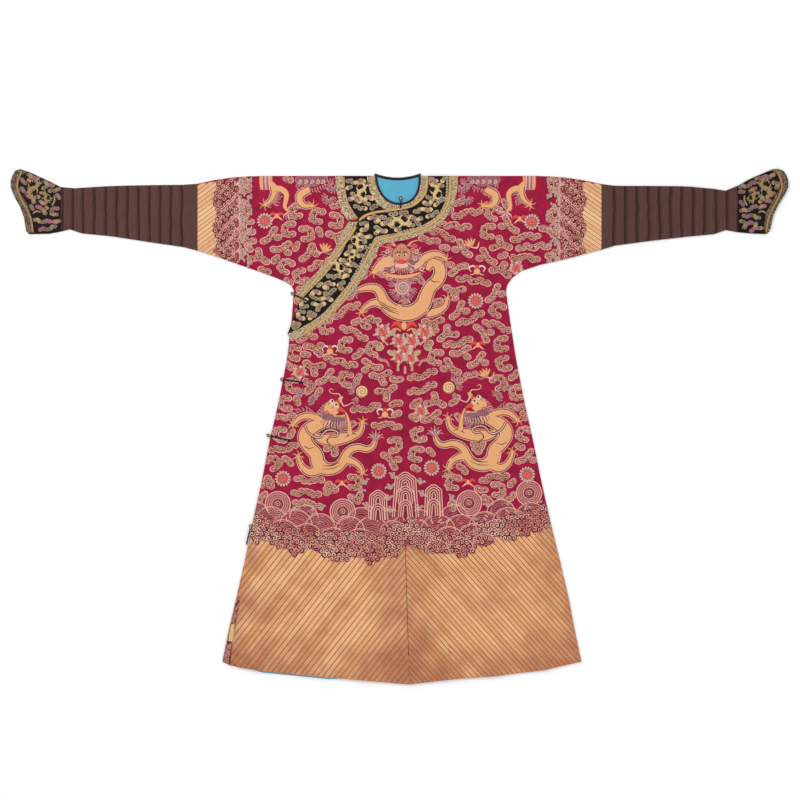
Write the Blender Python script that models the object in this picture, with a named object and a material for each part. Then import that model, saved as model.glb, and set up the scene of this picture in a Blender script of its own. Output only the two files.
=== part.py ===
"""Dragon robe of the Qing court cut, laid out flat with its front up.

The frame has its origin under the middle of the robe, +X towards the wearer's left sleeve, +Y from
the hem towards the collar and +Z up from the surface that the robe lies on. Left and right are the
wearer's own, so the right front, which wraps over the left, lies on the -X side.

Each half of the robe is cut in one piece over the shoulder, as the tailor cuts it: its flat pattern
is drawn by reach (from the middle, along X) and drop (from the shoulder line, towards the hem), and
is then folded over the shoulder line. All tables are in millimetres.
"""

import math
from collections import namedtuple

import bmesh
import bpy
from mathutils import Vector

MM = 0.001

# Driving dimensions.
CLOTH = 1.2  # outer silk with its embroidery
LINING = 1.0
TRIM = 1.0  # collar facing and brocade borders
GAP = 0.3  # between pieces that touch
LAY = 0.35  # between sheets that lie on each other
SHOULDER_Y = 676.5  # shoulder line, above the origin along Y
SLEEVE_SEAM = 545.0  # reach at which the ribbed sleeve is sewn on
WRIST_SEAM = 914.0  # reach at which the hoof cuff is sewn on
ARMPIT_DROP = 310.0
HEM_DROP = 1372.0
VENT_DROP = 1199.0  # the centre seam is open below this
VENT_PART = 1.2  # how far the vent's edges stand apart at the hem
ROLL_WIDTH = 12.0  # how far in from a sewn edge the front starts to turn down
TUCK_RISE = 1.3
TUCK_LIP = 2.5  # length of the step down at the end of each tuck
NECK_MIDDLE = -5.0
NECK_HALF_WIDTH = 62.0
NECK_DEPTH = 79.0
NECK_POWER = 2.2
NECK_LEAN = 6.0
NECK_BAND = 21.0
BORDER = 22.0
BINDING = 5.5
RING_BACK_DEPTH = 112.0
BACK_BINDING = 7.5
BACK_NECK_DROP = 4.5
BACK_NECK_SAG = 11.5
SHOULDER_TRIM = 0.8  # drop at which the collar's pieces start on the shoulder
BACK_COLLAR_TOP = 9.0  # the same for the collar's back, which is let into the back's underside
UNDERLAP_EDGE = -14.0  # where the underlap ends, under the overlap
LINING_INSET = 17.0
LINING_TOP_DROP = 9.0
LINING_REACH = 262.0
CUFF_MOUTH = 1000.0  # reach at which the cuff's seam ends and its open edge starts
CUFF_BORDER = 20.0
CORD_RADIUS = 1.0
BALL_RADIUS = 2.9

# Heights of the layers, from the surface up.
LINING_LOW = CLOTH + GAP
UNDER_LOW = LINING_LOW + LINING + GAP
UNDER_TOP = UNDER_LOW + CLOTH
OVER_LOW = UNDER_TOP + LAY
OVER_TOP = OVER_LOW + CLOTH
ROLL = UNDER_LOW - CLOTH - GAP  # how far a sewn edge comes down to meet the back
LEVEL_EDGE = 170.0  # reach to which the left front lies as high as the overlap
LEVEL_FOOT = 262.0  # reach from which it lies on the lining

Side = namedtuple("Side", "drop right left overlap")
SIDES = (
    Side(310, 285, 287, 285),
    Side(389, 291, 298, 291),
    Side(497, 304, 315, 304),
    Side(605, 325, 336, 325),
    Side(713, 350, 360, 350),
    Side(821, 371, 382, 371),
    Side(929, 395, 406, 395),
    Side(1037, 417, 433, 417),
    Side(1137, 440, 456, 435),
    Side(1225, 461, 473, 448),
    Side(1311, 478, 491, 458),
)

Sleeve = namedtuple("Sleeve", "reach fold under")
RIGHT_SLEEVE = (
    Sleeve(285, 0, 310),
    Sleeve(291, 0, 298),
    Sleeve(306, 0, 287),
    Sleeve(328, 0, 277),
    Sleeve(377, 0, 259),
    Sleeve(431, 2, 240),
    Sleeve(485, 8, 221),
    Sleeve(SLEEVE_SEAM, 21, 202),
    Sleeve(582, 24, 192),
    Sleeve(679, 25, 178),
    Sleeve(776, 27, 163),
    Sleeve(857, 32, 155),
    Sleeve(890, 34, 144),
    Sleeve(WRIST_SEAM, 30, 150),
    Sleeve(946, 14, 156),
    Sleeve(1000, -11, 157),
    Sleeve(1007, -13, 150),
    Sleeve(1013, -15, 112),
    Sleeve(1024, -19, 82),
    Sleeve(1037, -14, 60),
    Sleeve(1045, 0, 42),
    Sleeve(1049, 14, 30),
)
LEFT_SLEEVE = (
    Sleeve(287, 0, 310),
    Sleeve(291, 0, 294),
    Sleeve(303, 0, 276),
    Sleeve(328, 0, 257),
    Sleeve(379, 0, 240),
    Sleeve(420, 2, 231),
    Sleeve(480, 8, 216),
    Sleeve(SLEEVE_SEAM, 22, 199),
    Sleeve(582, 27, 188),
    Sleeve(679, 27, 175),
    Sleeve(776, 28, 164),
    Sleeve(849, 35, 157),
    Sleeve(880, 40, 146),
    Sleeve(WRIST_SEAM, 26, 152),
    Sleeve(946, 8, 155),
    Sleeve(990, -11, 157),
    Sleeve(1000, -15, 148),
    Sleeve(1008, -18, 108),
    Sleeve(1022, -19, 78),
    Sleeve(1036, -14, 56),
    Sleeve(1045, 0, 40),
    Sleeve(1049, 14, 30),
)

Tucks = namedtuple("Tucks", "first pitch count")
TUCKS = {-1: Tucks(584, 29.4, 11), 1: Tucks(576, 30.4, 12)}

Point = namedtuple("Point", "x drop")
RIGHT_HEM = (Point(-478, 1311), Point(-458, 1321), Point(-371, 1333), Point(-188, 1350))
OVERLAP_HEM = (Point(-458, 1311), Point(-441, 1325), Point(-371, 1336), Point(-188, 1354))
LINING_HEM = (
    Point(-461, 1311),
    Point(-441, 1320),
    Point(-371, 1340),
    Point(-188, 1358),
    Point(-120, 1355),
    Point(20, 1366),
    Point(136, 1355),
    Point(258, 1346),
    Point(390, 1330),
    Point(474, 1307),
)
LEFT_HEM = (Point(136, 1359), Point(258, 1350), Point(390, 1334), Point(491, 1311))
CENTRE_SEAM = (
    Point(1.5, 79),
    Point(1.5, 416),
    Point(10.5, 821),
    Point(13.5, 983),
    Point(20, 1199),
    Point(27, 1372),
)

# The overlap's upper edge, from the neck button to its corner, and the edges of the collar's border.
OVERLAP_TOP = (Point(58, 64), Point(34, 80), Point(9, 89), Point(-45, 101), Point(-90, 113), Point(-109, 121))
RING_RIGHT = (Point(-174, 0), Point(-170, 38), Point(-163, 72), Point(-152, 102), Point(-138, 121))
RING_LEFT = (
    Point(158, 0),
    Point(156, 30),
    Point(150, 62),
    Point(128, 109),
    Point(100, 137),
    Point(60, 158),
    Point(20, 172),
    Point(-20, 179),
    Point(-54, 184),
)
SLANT_TOP = (
    Point(-138, 124),
    Point(-160, 162),
    Point(-177, 200),
    Point(-218, 254),
    Point(-250, 286),
    Point(-285, 322),
)
SLANT_LOW = (
    Point(-54, 184),
    Point(-60, 205),
    Point(-90, 262),
    Point(-127, 314),
    Point(-190, 386),
    Point(-240, 421),
    Point(-292, 447),
)

RING_MIDDLE = (RING_RIGHT[0].x + RING_LEFT[0].x) / 2
RING_HALF_WIDTH = (RING_LEFT[0].x - RING_RIGHT[0].x) / 2

# Soft folds of the skirt, which rise from nothing at the head to their full height at the hem.
Fold = namedtuple("Fold", "x spread head half_width rise")
FOLDS = (
    Fold(-330, -55, 640, 62, 2.6),
    Fold(-205, -40, 480, 75, 3.4),
    Fold(-85, -12, 760, 55, 2.2),
    Fold(110, 14, 700, 60, 2.4),
    Fold(215, 45, 520, 70, 3.2),
    Fold(340, 60, 660, 65, 2.4),
)

# Ball-and-loop fasteners: the middle of the ball, how far the loop's tail runs from there, and the
# height of the cord's middle, which lies on the robe.
Loop = namedtuple("Loop", "name x drop run_x run_drop height")
LOOPS = (
    Loop("neck", 3, 61, 0, 27, 8.3),
    Loop("underarm", -289, 318, 46, 23, 8.6),
    Loop("upper_side", -317, 549, 58, 9, 7.2),
    Loop("lower_side", -354, 700, 60, 15, 7.3),
    Loop("skirt_side", -401, 945, -12, 50, 6.7),
)

CELL_X = 45.0
CELL_DROP = 110.0
CURVE_STEPS = 4
NECK_SPANS = 12
RING_SPANS = 16
EYE_TURNS = (40, 75, 110, 145)  # degrees from the tail to the points on each side of a loop's eye
SLEEVE_CUT = 80.0  # distance below the fold of a sleeve's one lengthwise cut

Finish = namedtuple("Finish", "colour roughness metallic")
FINISHES = {
    "crimson_silk": Finish((0.33, 0.012, 0.035), 0.5, 0.0),
    "ribbed_silk": Finish((0.07, 0.03, 0.025), 0.6, 0.0),
    "navy_silk": Finish((0.012, 0.012, 0.03), 0.45, 0.0),
    "brocade": Finish((0.36, 0.28, 0.15), 0.5, 0.2),
    "turquoise_lining": Finish((0.1, 0.42, 0.65), 0.5, 0.0),
    "dark_binding": Finish((0.012, 0.01, 0.018), 0.5, 0.0),
    "gilt_metal": Finish((0.55, 0.42, 0.2), 0.35, 1.0),
}


def clear_scene():
    """Remove every object that the scene starts with."""
    for obj in list(bpy.data.objects):
        bpy.data.objects.remove(obj, do_unlink=True)


def make_materials():
    """One Principled material for each finish."""
    made = {}
    for name, finish in FINISHES.items():
        material = bpy.data.materials.new(name)
        material.use_nodes = True
        shader = material.node_tree.nodes["Principled BSDF"]
        shader.inputs["Base Color"].default_value = (*finish.colour, 1)
        shader.inputs["Roughness"].default_value = finish.roughness
        shader.inputs["Metallic"].default_value = finish.metallic
        made[name] = material
    return made


def read(rows, column, at):
    """Value of a column, straight between the rows of a table whose first column runs one way."""
    for low, high in zip(rows, rows[1:]):
        if min(low[0], high[0]) <= at <= max(low[0], high[0]):
            share = (at - low[0]) / (high[0] - low[0])
            return getattr(low, column) * (1 - share) + getattr(high, column) * share
    nearest = rows[0] if abs(at - rows[0][0]) < abs(at - rows[-1][0]) else rows[-1]
    return getattr(nearest, column)


def rounded(rows, steps=CURVE_STEPS):
    """Points on the smooth Catmull-Rom curve through the rows of an edge."""
    points = [Vector(row) for row in rows]
    ends = [2 * points[0] - points[1]] + points + [2 * points[-1] - points[-2]]
    line = []
    for before, start, stop, after in zip(ends, ends[1:], ends[2:], ends[3:]):
        for step in range(steps):
            t = step / steps
            line.append(
                0.5
                * (
                    2 * start
                    + t * (stop - before)
                    + t**2 * (2 * before - 5 * start + 4 * stop - after)
                    + t**3 * (3 * start - before - 3 * stop + after)
                )
            )
    return line + [points[-1]]


def offset(line, distance):
    """The line moved sideways, to the left of its direction where distance is positive."""
    moved = []
    for i, point in enumerate(line):
        along = (line[min(i + 1, len(line) - 1)] - line[max(i - 1, 0)]).normalized()
        moved.append(point + distance * Vector((along.y, -along.x)))
    return moved


def centre_x(drop):
    """Where the centre seam runs at a drop."""
    line = [(row.drop, row.x) for row in CENTRE_SEAM]
    for (low, start), (high, stop) in zip(line, line[1:]):
        if drop <= high:
            return start + (stop - start) * max(drop - low, 0) / (high - low)
    return line[-1][1]


def centre_edge(sign, top, spacing=CELL_DROP):
    """One side's edge of the centre seam, from the top to the hem, parting along the vent."""
    count = math.ceil((HEM_DROP - top) / spacing)
    drops = sorted({top + (HEM_DROP - top) * i / count for i in range(count + 1)} | {VENT_DROP})
    line = []
    for drop in drops:
        parting = GAP / 2 + VENT_PART / 2 * max(0, drop - VENT_DROP) / (HEM_DROP - VENT_DROP)
        line.append(Vector((centre_x(drop) + sign * parting, drop)))
    return line


def neck_curve(sign, grow, count=NECK_SPANS):
    """Half of the front neck edge, from the centre front to the shoulder, moved outwards by grow."""
    line = []
    for i in range(count + 1):
        angle = math.pi / 2 * (1 - i / count)
        wide = math.cos(angle) ** (2 / NECK_POWER)
        deep = math.sin(angle) ** (2 / NECK_POWER)
        x = NECK_MIDDLE + NECK_LEAN * deep + sign * (NECK_HALF_WIDTH + grow) * wide
        line.append(Vector((x, (NECK_DEPTH + grow) * deep)))
    return line


def back_neck(down, highest=-2 * BACK_NECK_SAG, count=NECK_SPANS):
    """The back neck edge, a shallow arc between the neck's corners, moved down and kept below highest."""
    line = []
    for i in range(count + 1):
        share = 2 * i / count - 1
        drop = BACK_NECK_DROP - BACK_NECK_SAG * share**2 + down
        line.append(Vector((NECK_MIDDLE + NECK_HALF_WIDTH * share, max(drop, highest))))
    return line


def fold_rise(x, drop):
    """How far the skirt's soft folds lift the front at a place."""
    lift = 0
    for fold in FOLDS:
        length = min(1, max(0, (drop - fold.head) / (HEM_DROP - fold.head)))
        across = abs(x - fold.x - fold.spread * length) / fold.half_width
        if across < 1:
            lift += fold.rise * length * math.cos(math.pi / 2 * across) ** 2
    return lift


def left_front_top(x, drop):
    """Height of the left front: level with the overlap by the centre seam, lower towards its side."""
    share = min(1, max(0, (x - LEVEL_EDGE) / (LEVEL_FOOT - LEVEL_EDGE)))
    return OVER_TOP + (UNDER_TOP - OVER_TOP) * share + fold_rise(x, drop)


def tuck_rise(sign, reach):
    """Height of a sleeve's tucks, each a slow rise away from the body and then a short step down."""
    first, pitch, count = TUCKS[sign]
    place = (reach - first) / pitch + 1
    if place < 0 or place >= count:
        return 0
    share = (place % 1) * pitch
    climb = pitch - TUCK_LIP
    return TUCK_RISE * (share / climb if share <= climb else (pitch - share) / TUCK_LIP)


def pattern(rolled, inward, plain, x_cuts, drop_cuts):
    """A flat pattern as a triangle mesh; its third coordinate is 1 along the rolled edge and 0 elsewhere."""
    mesh = bmesh.new()
    inner = [mesh.verts.new((p.x, p.y, 0)) for p in inward]
    rest = [mesh.verts.new((p.x, p.y, 0)) for p in plain]
    mesh.faces.new(inner + rest)
    if rolled:
        outer = [mesh.verts.new((p.x, p.y, p.z if len(p) > 2 else 1)) for p in rolled]
        for i in range(len(inner) - 1):
            mesh.faces.new((outer[i], outer[i + 1], inner[i + 1], inner[i]))
    for axis, cuts in ((0, x_cuts), (1, drop_cuts)):
        for cut in cuts:
            normal = Vector((1 - axis, axis, 0))
            everything = mesh.verts[:] + mesh.edges[:] + mesh.faces[:]
            bmesh.ops.bisect_plane(
                mesh, geom=everything, dist=0.2, plane_co=normal * cut, plane_no=normal
            )
    bmesh.ops.triangulate(mesh, faces=mesh.faces[:])
    return mesh


def thickened(mesh, outer, inner):
    """A closed wall from a flat pattern: one skin placed by each of the two functions."""
    first = mesh.verts[:]
    made = bmesh.ops.extrude_face_region(mesh, geom=mesh.faces[:])["geom"]
    lifted = [item for item in made if isinstance(item, bmesh.types.BMVert)]
    for vert in first:
        vert.co = inner(*vert.co) * MM
    for vert in lifted:
        vert.co = outer(*vert.co) * MM
    bmesh.ops.recalc_face_normals(mesh, faces=mesh.faces[:])
    if mesh.calc_volume(signed=True) < 0:
        bmesh.ops.reverse_faces(mesh, faces=mesh.faces[:])
    return mesh


def add_node(name, mesh, material):
    """Turn a bmesh into a named object with one material."""
    data = bpy.data.meshes.new(name)
    mesh.to_mesh(data)
    mesh.free()
    data.materials.append(material)
    data.shade_smooth()
    data.set_sharp_from_angle(angle=math.radians(40))
    obj = bpy.data.objects.new(name, data)
    bpy.context.scene.collection.objects.link(obj)
    return obj


def spaced(low, high, step):
    """Evenly spaced cuts between two places, without the ends."""
    count = max(1, round((high - low) / step))
    return [low + (high - low) * i / count for i in range(1, count)]


def add_sheet(name, outline, top, thickness, material, rolled=(), inward=(), x_cuts=(), drop_cuts=()):
    """A sheet that lies on what is under it, its upper skin at the height that top gives."""

    def place(x, drop, roll, thick):
        height = top(x, drop) if callable(top) else top
        return Vector((x, SHOULDER_Y - drop, height - roll * ROLL - thick))

    if not rolled:
        inward, outline = outline[:2], outline[2:]
    mesh = pattern(rolled, inward, outline, x_cuts, drop_cuts)
    thickened(mesh, lambda *at: place(*at, 0), lambda *at: place(*at, thickness))
    return add_node(name, mesh, material)


def add_folded(name, rolled, inward, plain, fold, top, material, x_cuts, drop_cuts):
    """A piece cut in one over its upper edge and folded there: the front lies at top, the back on the floor.

    Its pattern's second coordinate is the distance from the fold, positive in front.
    """

    def place(x, along, roll, inset):
        ridge = SHOULDER_Y - fold(x)
        height = top(x, fold(x) + max(along, 0))
        radius = height / 2
        if along > radius:
            return Vector((x, ridge - along, height - roll * ROLL - inset))
        if along < -radius:
            return Vector((x, ridge + along, inset))
        turn = math.pi / 2 * along / radius
        bend = radius - inset
        return Vector((x, ridge - radius + bend * math.cos(turn), radius + bend * math.sin(turn)))

    mesh = pattern(rolled, inward, plain, x_cuts, drop_cuts)
    thickened(mesh, lambda *at: place(*at, 0), lambda *at: place(*at, CLOTH))
    return add_node(name, mesh, material)


def fold_cuts(top):
    """Cuts across a pattern where it turns over its fold."""
    radius = top / 2
    return [0, *(sign * radius * share for share in (0.55, 1) for sign in (1, -1))]


def side_points(sign, column="side"):
    """The side seam from the hem corner to the armpit, as (reach, drop)."""
    names = {("side", -1): "right", ("side", 1): "left", ("overlap", -1): "overlap"}
    wanted = names[column, sign]
    return [Vector((sign * getattr(row, wanted), row.drop)) for row in reversed(SIDES)]


def under_points(sign, start, stop):
    """The underarm edge between two reaches, as (reach, drop)."""
    rows = sleeve_rows(sign)
    inside = [row for row in rows if start < row.reach < stop]
    points = [Vector((sign * start, read(rows, "under", start)))]
    points += [Vector((sign * row.reach, row.under)) for row in inside]
    return points + [Vector((sign * stop, read(rows, "under", stop)))]


def sleeve_rows(sign):
    """The sleeve's table for one side."""
    return LEFT_SLEEVE if sign > 0 else RIGHT_SLEEVE


def fold_of(sign):
    """The fold line's drop along one side, as a function of x."""
    rows = sleeve_rows(sign)
    return lambda x: read(rows, "fold", max(sign * x, rows[0].reach))


def to_pattern(points, fold, side=1):
    """Points by drop turned into pattern points, measured from the fold, in front (1) or behind (-1)."""
    return [Vector((p.x, side * (p.y - fold(p.x)))) for p in points]


def back_ring(sign=0, count=RING_SPANS):
    """The collar's outer edge at the back, from the right shoulder to the left, or one side's half."""
    line = []
    for i in range(count + 1):
        angle = math.pi * i / count
        x = RING_MIDDLE - RING_HALF_WIDTH * math.cos(angle)
        line.append(Vector((x, max(RING_BACK_DEPTH * math.sin(angle), BACK_COLLAR_TOP))))
    middle = Vector((centre_x(0) + sign * GAP / 2, RING_BACK_DEPTH))
    if sign > 0:
        return [middle] + [point for point in line if point.x > middle.x + 1]
    if sign < 0:
        return [middle] + [point for point in line[::-1] if point.x < middle.x - 1]
    return line


def body_half(sign, name, material):
    """Half of the robe with its sleeve's root: back and front in one, folded over the shoulder."""
    fold = fold_of(sign)
    seam = side_points(sign) + under_points(sign, sleeve_rows(sign)[0].reach, SLEEVE_SEAM - GAP)[1:]
    inward = offset(seam, sign * ROLL_WIDTH)
    inward[-1].x = seam[-1].x
    neck = neck_curve(sign, 0)
    if sign > 0:
        hem = [Vector(point) for point in LEFT_HEM]
        front_edge = centre_edge(1, NECK_DEPTH)[1:]
        neck[0] = Vector((centre_x(0) + GAP / 2, NECK_DEPTH))
        front_top = left_front_top
    else:
        hem = [Vector(point) for point in RIGHT_HEM[::-1]]
        neck = [point for point in neck if point.x < UNDERLAP_EDGE]
        front_edge = [Vector((UNDERLAP_EDGE, drop)) for drop in (NECK_DEPTH, HEM_DROP - 16)]
        front_top = lambda x, drop: UNDER_TOP
    end = Vector((seam[-1].x, fold(seam[-1].x)))
    outline = to_pattern([end], fold)
    outline += to_pattern(seam[::-1], fold, -1)
    outline += to_pattern(hem[-2::-1], fold, -1)
    outline += to_pattern(centre_edge(sign, RING_BACK_DEPTH)[:0:-1], fold, -1)
    outline += to_pattern(back_ring(sign), fold, -1)
    outline += to_pattern([Vector((neck[-1].x, BACK_COLLAR_TOP))], fold, -1)
    outline += to_pattern(neck[::-1], fold)
    outline += to_pattern(front_edge, fold)
    outline += to_pattern(hem[:-1], fold)
    widest = max(point.x * sign for point in seam)
    x_cuts = [sign * x for x in spaced(0, widest, CELL_X)] + ([LEVEL_EDGE, LEVEL_FOOT] if sign > 0 else [])
    drop_cuts = fold_cuts(UNDER_TOP) + spaced(0, HEM_DROP, CELL_DROP)
    rolled, inward = to_pattern(seam, fold), to_pattern(inward, fold)
    add_folded(name, rolled, inward, outline, fold, front_top, material, x_cuts, drop_cuts)


def front_overlap(material):
    """The right front, which wraps over the underlap and carries the slanting edge of the collar."""
    seam = [Vector((point.x, point.y, 0)) for point in side_points(-1, "overlap")]
    seam[-1] = Vector((SLANT_TOP[-1].x, SLANT_TOP[-1].drop, 0))
    slant = rounded(SLANT_TOP)
    inward = offset([point.xy for point in seam], -ROLL_WIDTH)[:-1] + [slant[-2]]
    for point in seam:
        apart = point.x + read(SIDES, "right", point.y)
        point.z = max(0, 1 - 2 * abs(apart) / ROLL_WIDTH)
    outline = slant[-3::-1] + [Vector(point) for point in OVERLAP_TOP[::-1] if point.x < 0]
    outline += centre_edge(-1, read(OVERLAP_TOP, "drop", 0))
    outline += [Vector(point) for point in OVERLAP_HEM[:0:-1]]
    top = lambda x, drop: OVER_TOP + fold_rise(x, drop)
    x_cuts, drop_cuts = spaced(-478, 0, CELL_X), spaced(0, HEM_DROP, CELL_DROP)
    add_sheet("front_overlap", outline, top, CLOTH, material, seam, inward, x_cuts, drop_cuts)


def lining_back(material):
    """The turquoise lining of the back, which shows in the neck and a little below the hem."""
    outline = [Vector(point) for point in LINING_HEM]
    outline += [Vector((row.left - LINING_INSET, row.drop)) for row in SIDES[-2::-1]]
    neck = back_neck(BACK_BINDING + GAP, count=2 * NECK_SPANS)
    neck = [point for point in neck if abs(point.x - NECK_MIDDLE) < NECK_HALF_WIDTH - BINDING + 0.5]
    outline += [Vector((LINING_REACH, LINING_TOP_DROP)), Vector((neck[-1].x, LINING_TOP_DROP))]
    outline += neck[::-1]
    outline += [Vector((neck[0].x, LINING_TOP_DROP)), Vector((-LINING_REACH, LINING_TOP_DROP))]
    outline += [Vector((LINING_INSET - row.right, row.drop)) for row in SIDES[:-1]]
    add_sheet("lining_back", outline, LINING_LOW + LINING, LINING, material)


def sleeve_tube(sign, name, start, stop, mouth, top, material, x_cuts=()):
    """A flattened tube of the sleeve between two reaches, sewn along its under edge as far as mouth."""
    fold = fold_of(sign)
    seam = under_points(sign, start, mouth)
    inward = offset(seam, sign * ROLL_WIDTH)
    inward[0].x = seam[0].x
    if mouth == stop:
        inward[-1].x = seam[-1].x
    open_edge = under_points(sign, mouth, stop)[1:] if mouth < stop else []
    tip = Vector((sign * stop, fold(sign * stop)))
    outline = to_pattern(open_edge, fold) + to_pattern([tip], fold)
    outline += to_pattern((seam + open_edge)[::-1], fold, -1)
    outline += to_pattern([Vector((sign * start, fold(sign * start)))], fold)
    rolled, inward = to_pattern(seam, fold), to_pattern(inward, fold)
    cuts = fold_cuts(UNDER_TOP) + [SLEEVE_CUT]
    add_folded(name, rolled, inward, outline, fold, top, material, x_cuts, cuts)


def ribbed_sleeve(sign, name, material):
    """The dark sleeve between the body and the cuff, with its tucks."""
    first, pitch, count = TUCKS[sign]
    edges = [first + pitch * i for i in range(count)]
    reaches = [first - pitch, *edges, *(edge - TUCK_LIP for edge in edges)]
    x_cuts = [sign * x for x in reaches if x > SLEEVE_SEAM + 1]
    top = lambda x, drop: UNDER_TOP + tuck_rise(sign, abs(x))
    sleeve_tube(sign, name, SLEEVE_SEAM, WRIST_SEAM - GAP, WRIST_SEAM - GAP, top, material, x_cuts)


def hoof_cuff(sign, name, material):
    """The cuff, which flares to a hoof over the back of the hand."""
    reaches = [row.reach for row in sleeve_rows(sign)]
    x_cuts = [sign * reach for reach in reaches[:-1] if reach > WRIST_SEAM]
    sleeve_tube(sign, name, WRIST_SEAM, reaches[-1], CUFF_MOUTH, lambda x, drop: UNDER_TOP, material, x_cuts)


def cuff_border(sign, name, material):
    """The brocade strip along the open edge of a cuff."""
    rows = [row for row in sleeve_rows(sign) if row.reach >= CUFF_MOUTH]
    edge = [Vector((sign * row.reach, row.under - (3 if row is rows[0] else 0))) for row in rows]
    edge += [Vector((sign * row.reach, row.fold + SHOULDER_TRIM)) for row in rows[:-5:-1]]
    inner = offset(edge, sign * CUFF_BORDER)
    inner[0].y = edge[0].y
    end = edge[-1].x - sign * CUFF_BORDER
    inner[-1] = Vector((end, fold_of(sign)(end) + SHOULDER_TRIM))
    add_sheet(name, edge + inner[::-1], UNDER_TOP + LAY + TRIM, TRIM, material)


def on_shoulder(line):
    """The line with what lies above the shoulder trimmed to where the collar's pieces start."""
    return [Vector((point.x, max(point.y, SHOULDER_TRIM))) for point in line]


def collar(materials):
    """The collar's facing, its inner brocade ring and its outer brocade border."""
    navy, brocade = materials["navy_silk"], materials["brocade"]
    under_top, over_top = UNDER_TOP + LAY + TRIM, OVER_TOP + LAY + TRIM
    top_edge = [Vector(point) for point in OVERLAP_TOP]
    ring_right, slant_top = rounded(RING_RIGHT), rounded(SLANT_TOP)
    low_edge = rounded(RING_LEFT) + rounded(SLANT_LOW)[1:]
    meet = read(OVERLAP_TOP, "drop", -22)

    band = neck_curve(-1, NECK_BAND)
    band = [point for point in band if point.x < -24]
    outline = [Vector((centre_x(0) - GAP, NECK_DEPTH)), *neck_curve(-1, 0)[1:], *band[::-1]]
    outline += [Vector((-22, meet - GAP)), Vector((centre_x(0) - GAP, read(OVERLAP_TOP, "drop", 0) - GAP))]
    add_sheet("neck_band_underlap", on_shoulder(outline), under_top, TRIM, brocade)

    outline = [point + Vector((-GAP, 0)) for point in band]
    outline += on_shoulder(offset(ring_right, BORDER + GAP))
    outline += [point - Vector((0, GAP)) for point in top_edge[::-1] if point.x < -24]
    add_sheet("collar_underlap", on_shoulder(outline), under_top, TRIM, navy)

    outline = ring_right + offset(ring_right, BORDER)[::-1]
    add_sheet("border_underlap", on_shoulder(outline), under_top + GAP, TRIM + GAP, brocade)

    band = [point for point in neck_curve(1, NECK_BAND) if point.y < top_edge[0].y - 4]
    outline = [Vector((centre_x(0), NECK_DEPTH)), *neck_curve(1, 0)[1:], *band[::-1], *top_edge[:2]]
    outline += [Vector((centre_x(0), read(OVERLAP_TOP, "drop", centre_x(0))))]
    add_sheet("neck_band_front", on_shoulder(outline), over_top, TRIM, brocade)

    outline = [point + Vector((0, GAP)) for point in top_edge] + [Vector((-110, SLANT_TOP[0].drop))]
    outline += offset(slant_top, BORDER + GAP)[1:]
    outline += offset(low_edge, -BORDER - GAP)[::-1]
    outline += [point + Vector((GAP, 0)) for point in band[::-1]]
    add_sheet("collar_front", on_shoulder(outline), over_top, TRIM, navy)

    outline = slant_top + offset(slant_top, BORDER)[:0:-1] + [Vector((-110.4, SLANT_TOP[0].drop))]
    add_sheet("border_overlap", outline, over_top + GAP, TRIM + GAP, brocade)
    outline = low_edge + offset(low_edge, -BORDER)[::-1]
    add_sheet("border_front", on_shoulder(outline), over_top + GAP, TRIM + GAP, brocade)

    outline = offset(back_ring(), GAP)
    outline += back_neck(BACK_BINDING + GAP, BACK_COLLAR_TOP + GAP)[::-1]
    outline = [Vector((point.x, max(point.y, BACK_COLLAR_TOP + GAP))) for point in outline]
    add_sheet("collar_back", outline, CLOTH, CLOTH, navy)


def neck_bindings(material):
    """The dark cord-like edge of the neck, in three lengths."""
    for sign, name, top in ((-1, "neck_binding_underlap", 5.3), (1, "neck_binding_front", 6.8)):
        outer, inner = neck_curve(sign, -GAP), neck_curve(sign, -GAP - BINDING)
        for line in (outer, inner):
            line[0].x = centre_x(0) + sign * GAP / 2
        add_sheet(name, outer + inner[::-1], top, top - UNDER_LOW, material)
    outline = back_neck(0) + back_neck(BACK_BINDING)[::-1]
    add_sheet("neck_binding_back", outline, LINING_LOW + LINING, LINING_LOW + LINING, material)


def fasteners(materials):
    """Ball buttons, each held in the eye of a doubled cord."""
    eye = BALL_RADIUS + GAP + CORD_RADIUS
    for loop in LOOPS:
        run = Vector((loop.run_x, loop.run_drop))
        along, across = run.normalized(), Vector((-run.y, run.x)).normalized()
        middle = Vector((loop.x, loop.drop))
        ball = bmesh.new()
        bmesh.ops.create_uvsphere(ball, u_segments=12, v_segments=8, radius=BALL_RADIUS * MM)
        bmesh.ops.translate(ball, vec=place(middle, loop.height), verts=ball.verts[:])
        add_node(f"button_{loop.name}", ball, materials["gilt_metal"])
        route = []
        for side in (1, -1):
            strand = [middle + run + across * side * (CORD_RADIUS + GAP / 2)]
            strand += [middle + along * eye * 1.9 + across * side * (CORD_RADIUS + GAP / 2)]
            for turn in EYE_TURNS:
                aside = across * side * math.sin(math.radians(turn))
                strand.append(middle + eye * (along * math.cos(math.radians(turn)) + aside))
            route.append(strand)
        points = route[0] + [middle - along * eye] + route[1][::-1]
        add_cord(f"loop_{loop.name}", [place(p, loop.height) for p in points], materials["dark_binding"])


def place(point, height):
    """A point by reach and drop, in the frame's metres."""
    return Vector((point.x, SHOULDER_Y - point.y, height)) * MM


def add_cord(name, points, material):
    """A round cord along straight spans, with closed ends."""
    data = bpy.data.curves.new(name, "CURVE")
    data.dimensions = "3D"
    data.bevel_depth = CORD_RADIUS * MM
    data.bevel_resolution = 1
    data.use_fill_caps = True
    spline = data.splines.new("POLY")
    spline.points.add(len(points) - 1)
    for target, point in zip(spline.points, points):
        target.co = (*point, 1)
    data.materials.append(material)
    obj = bpy.data.objects.new(name, data)
    bpy.context.scene.collection.objects.link(obj)


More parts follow.
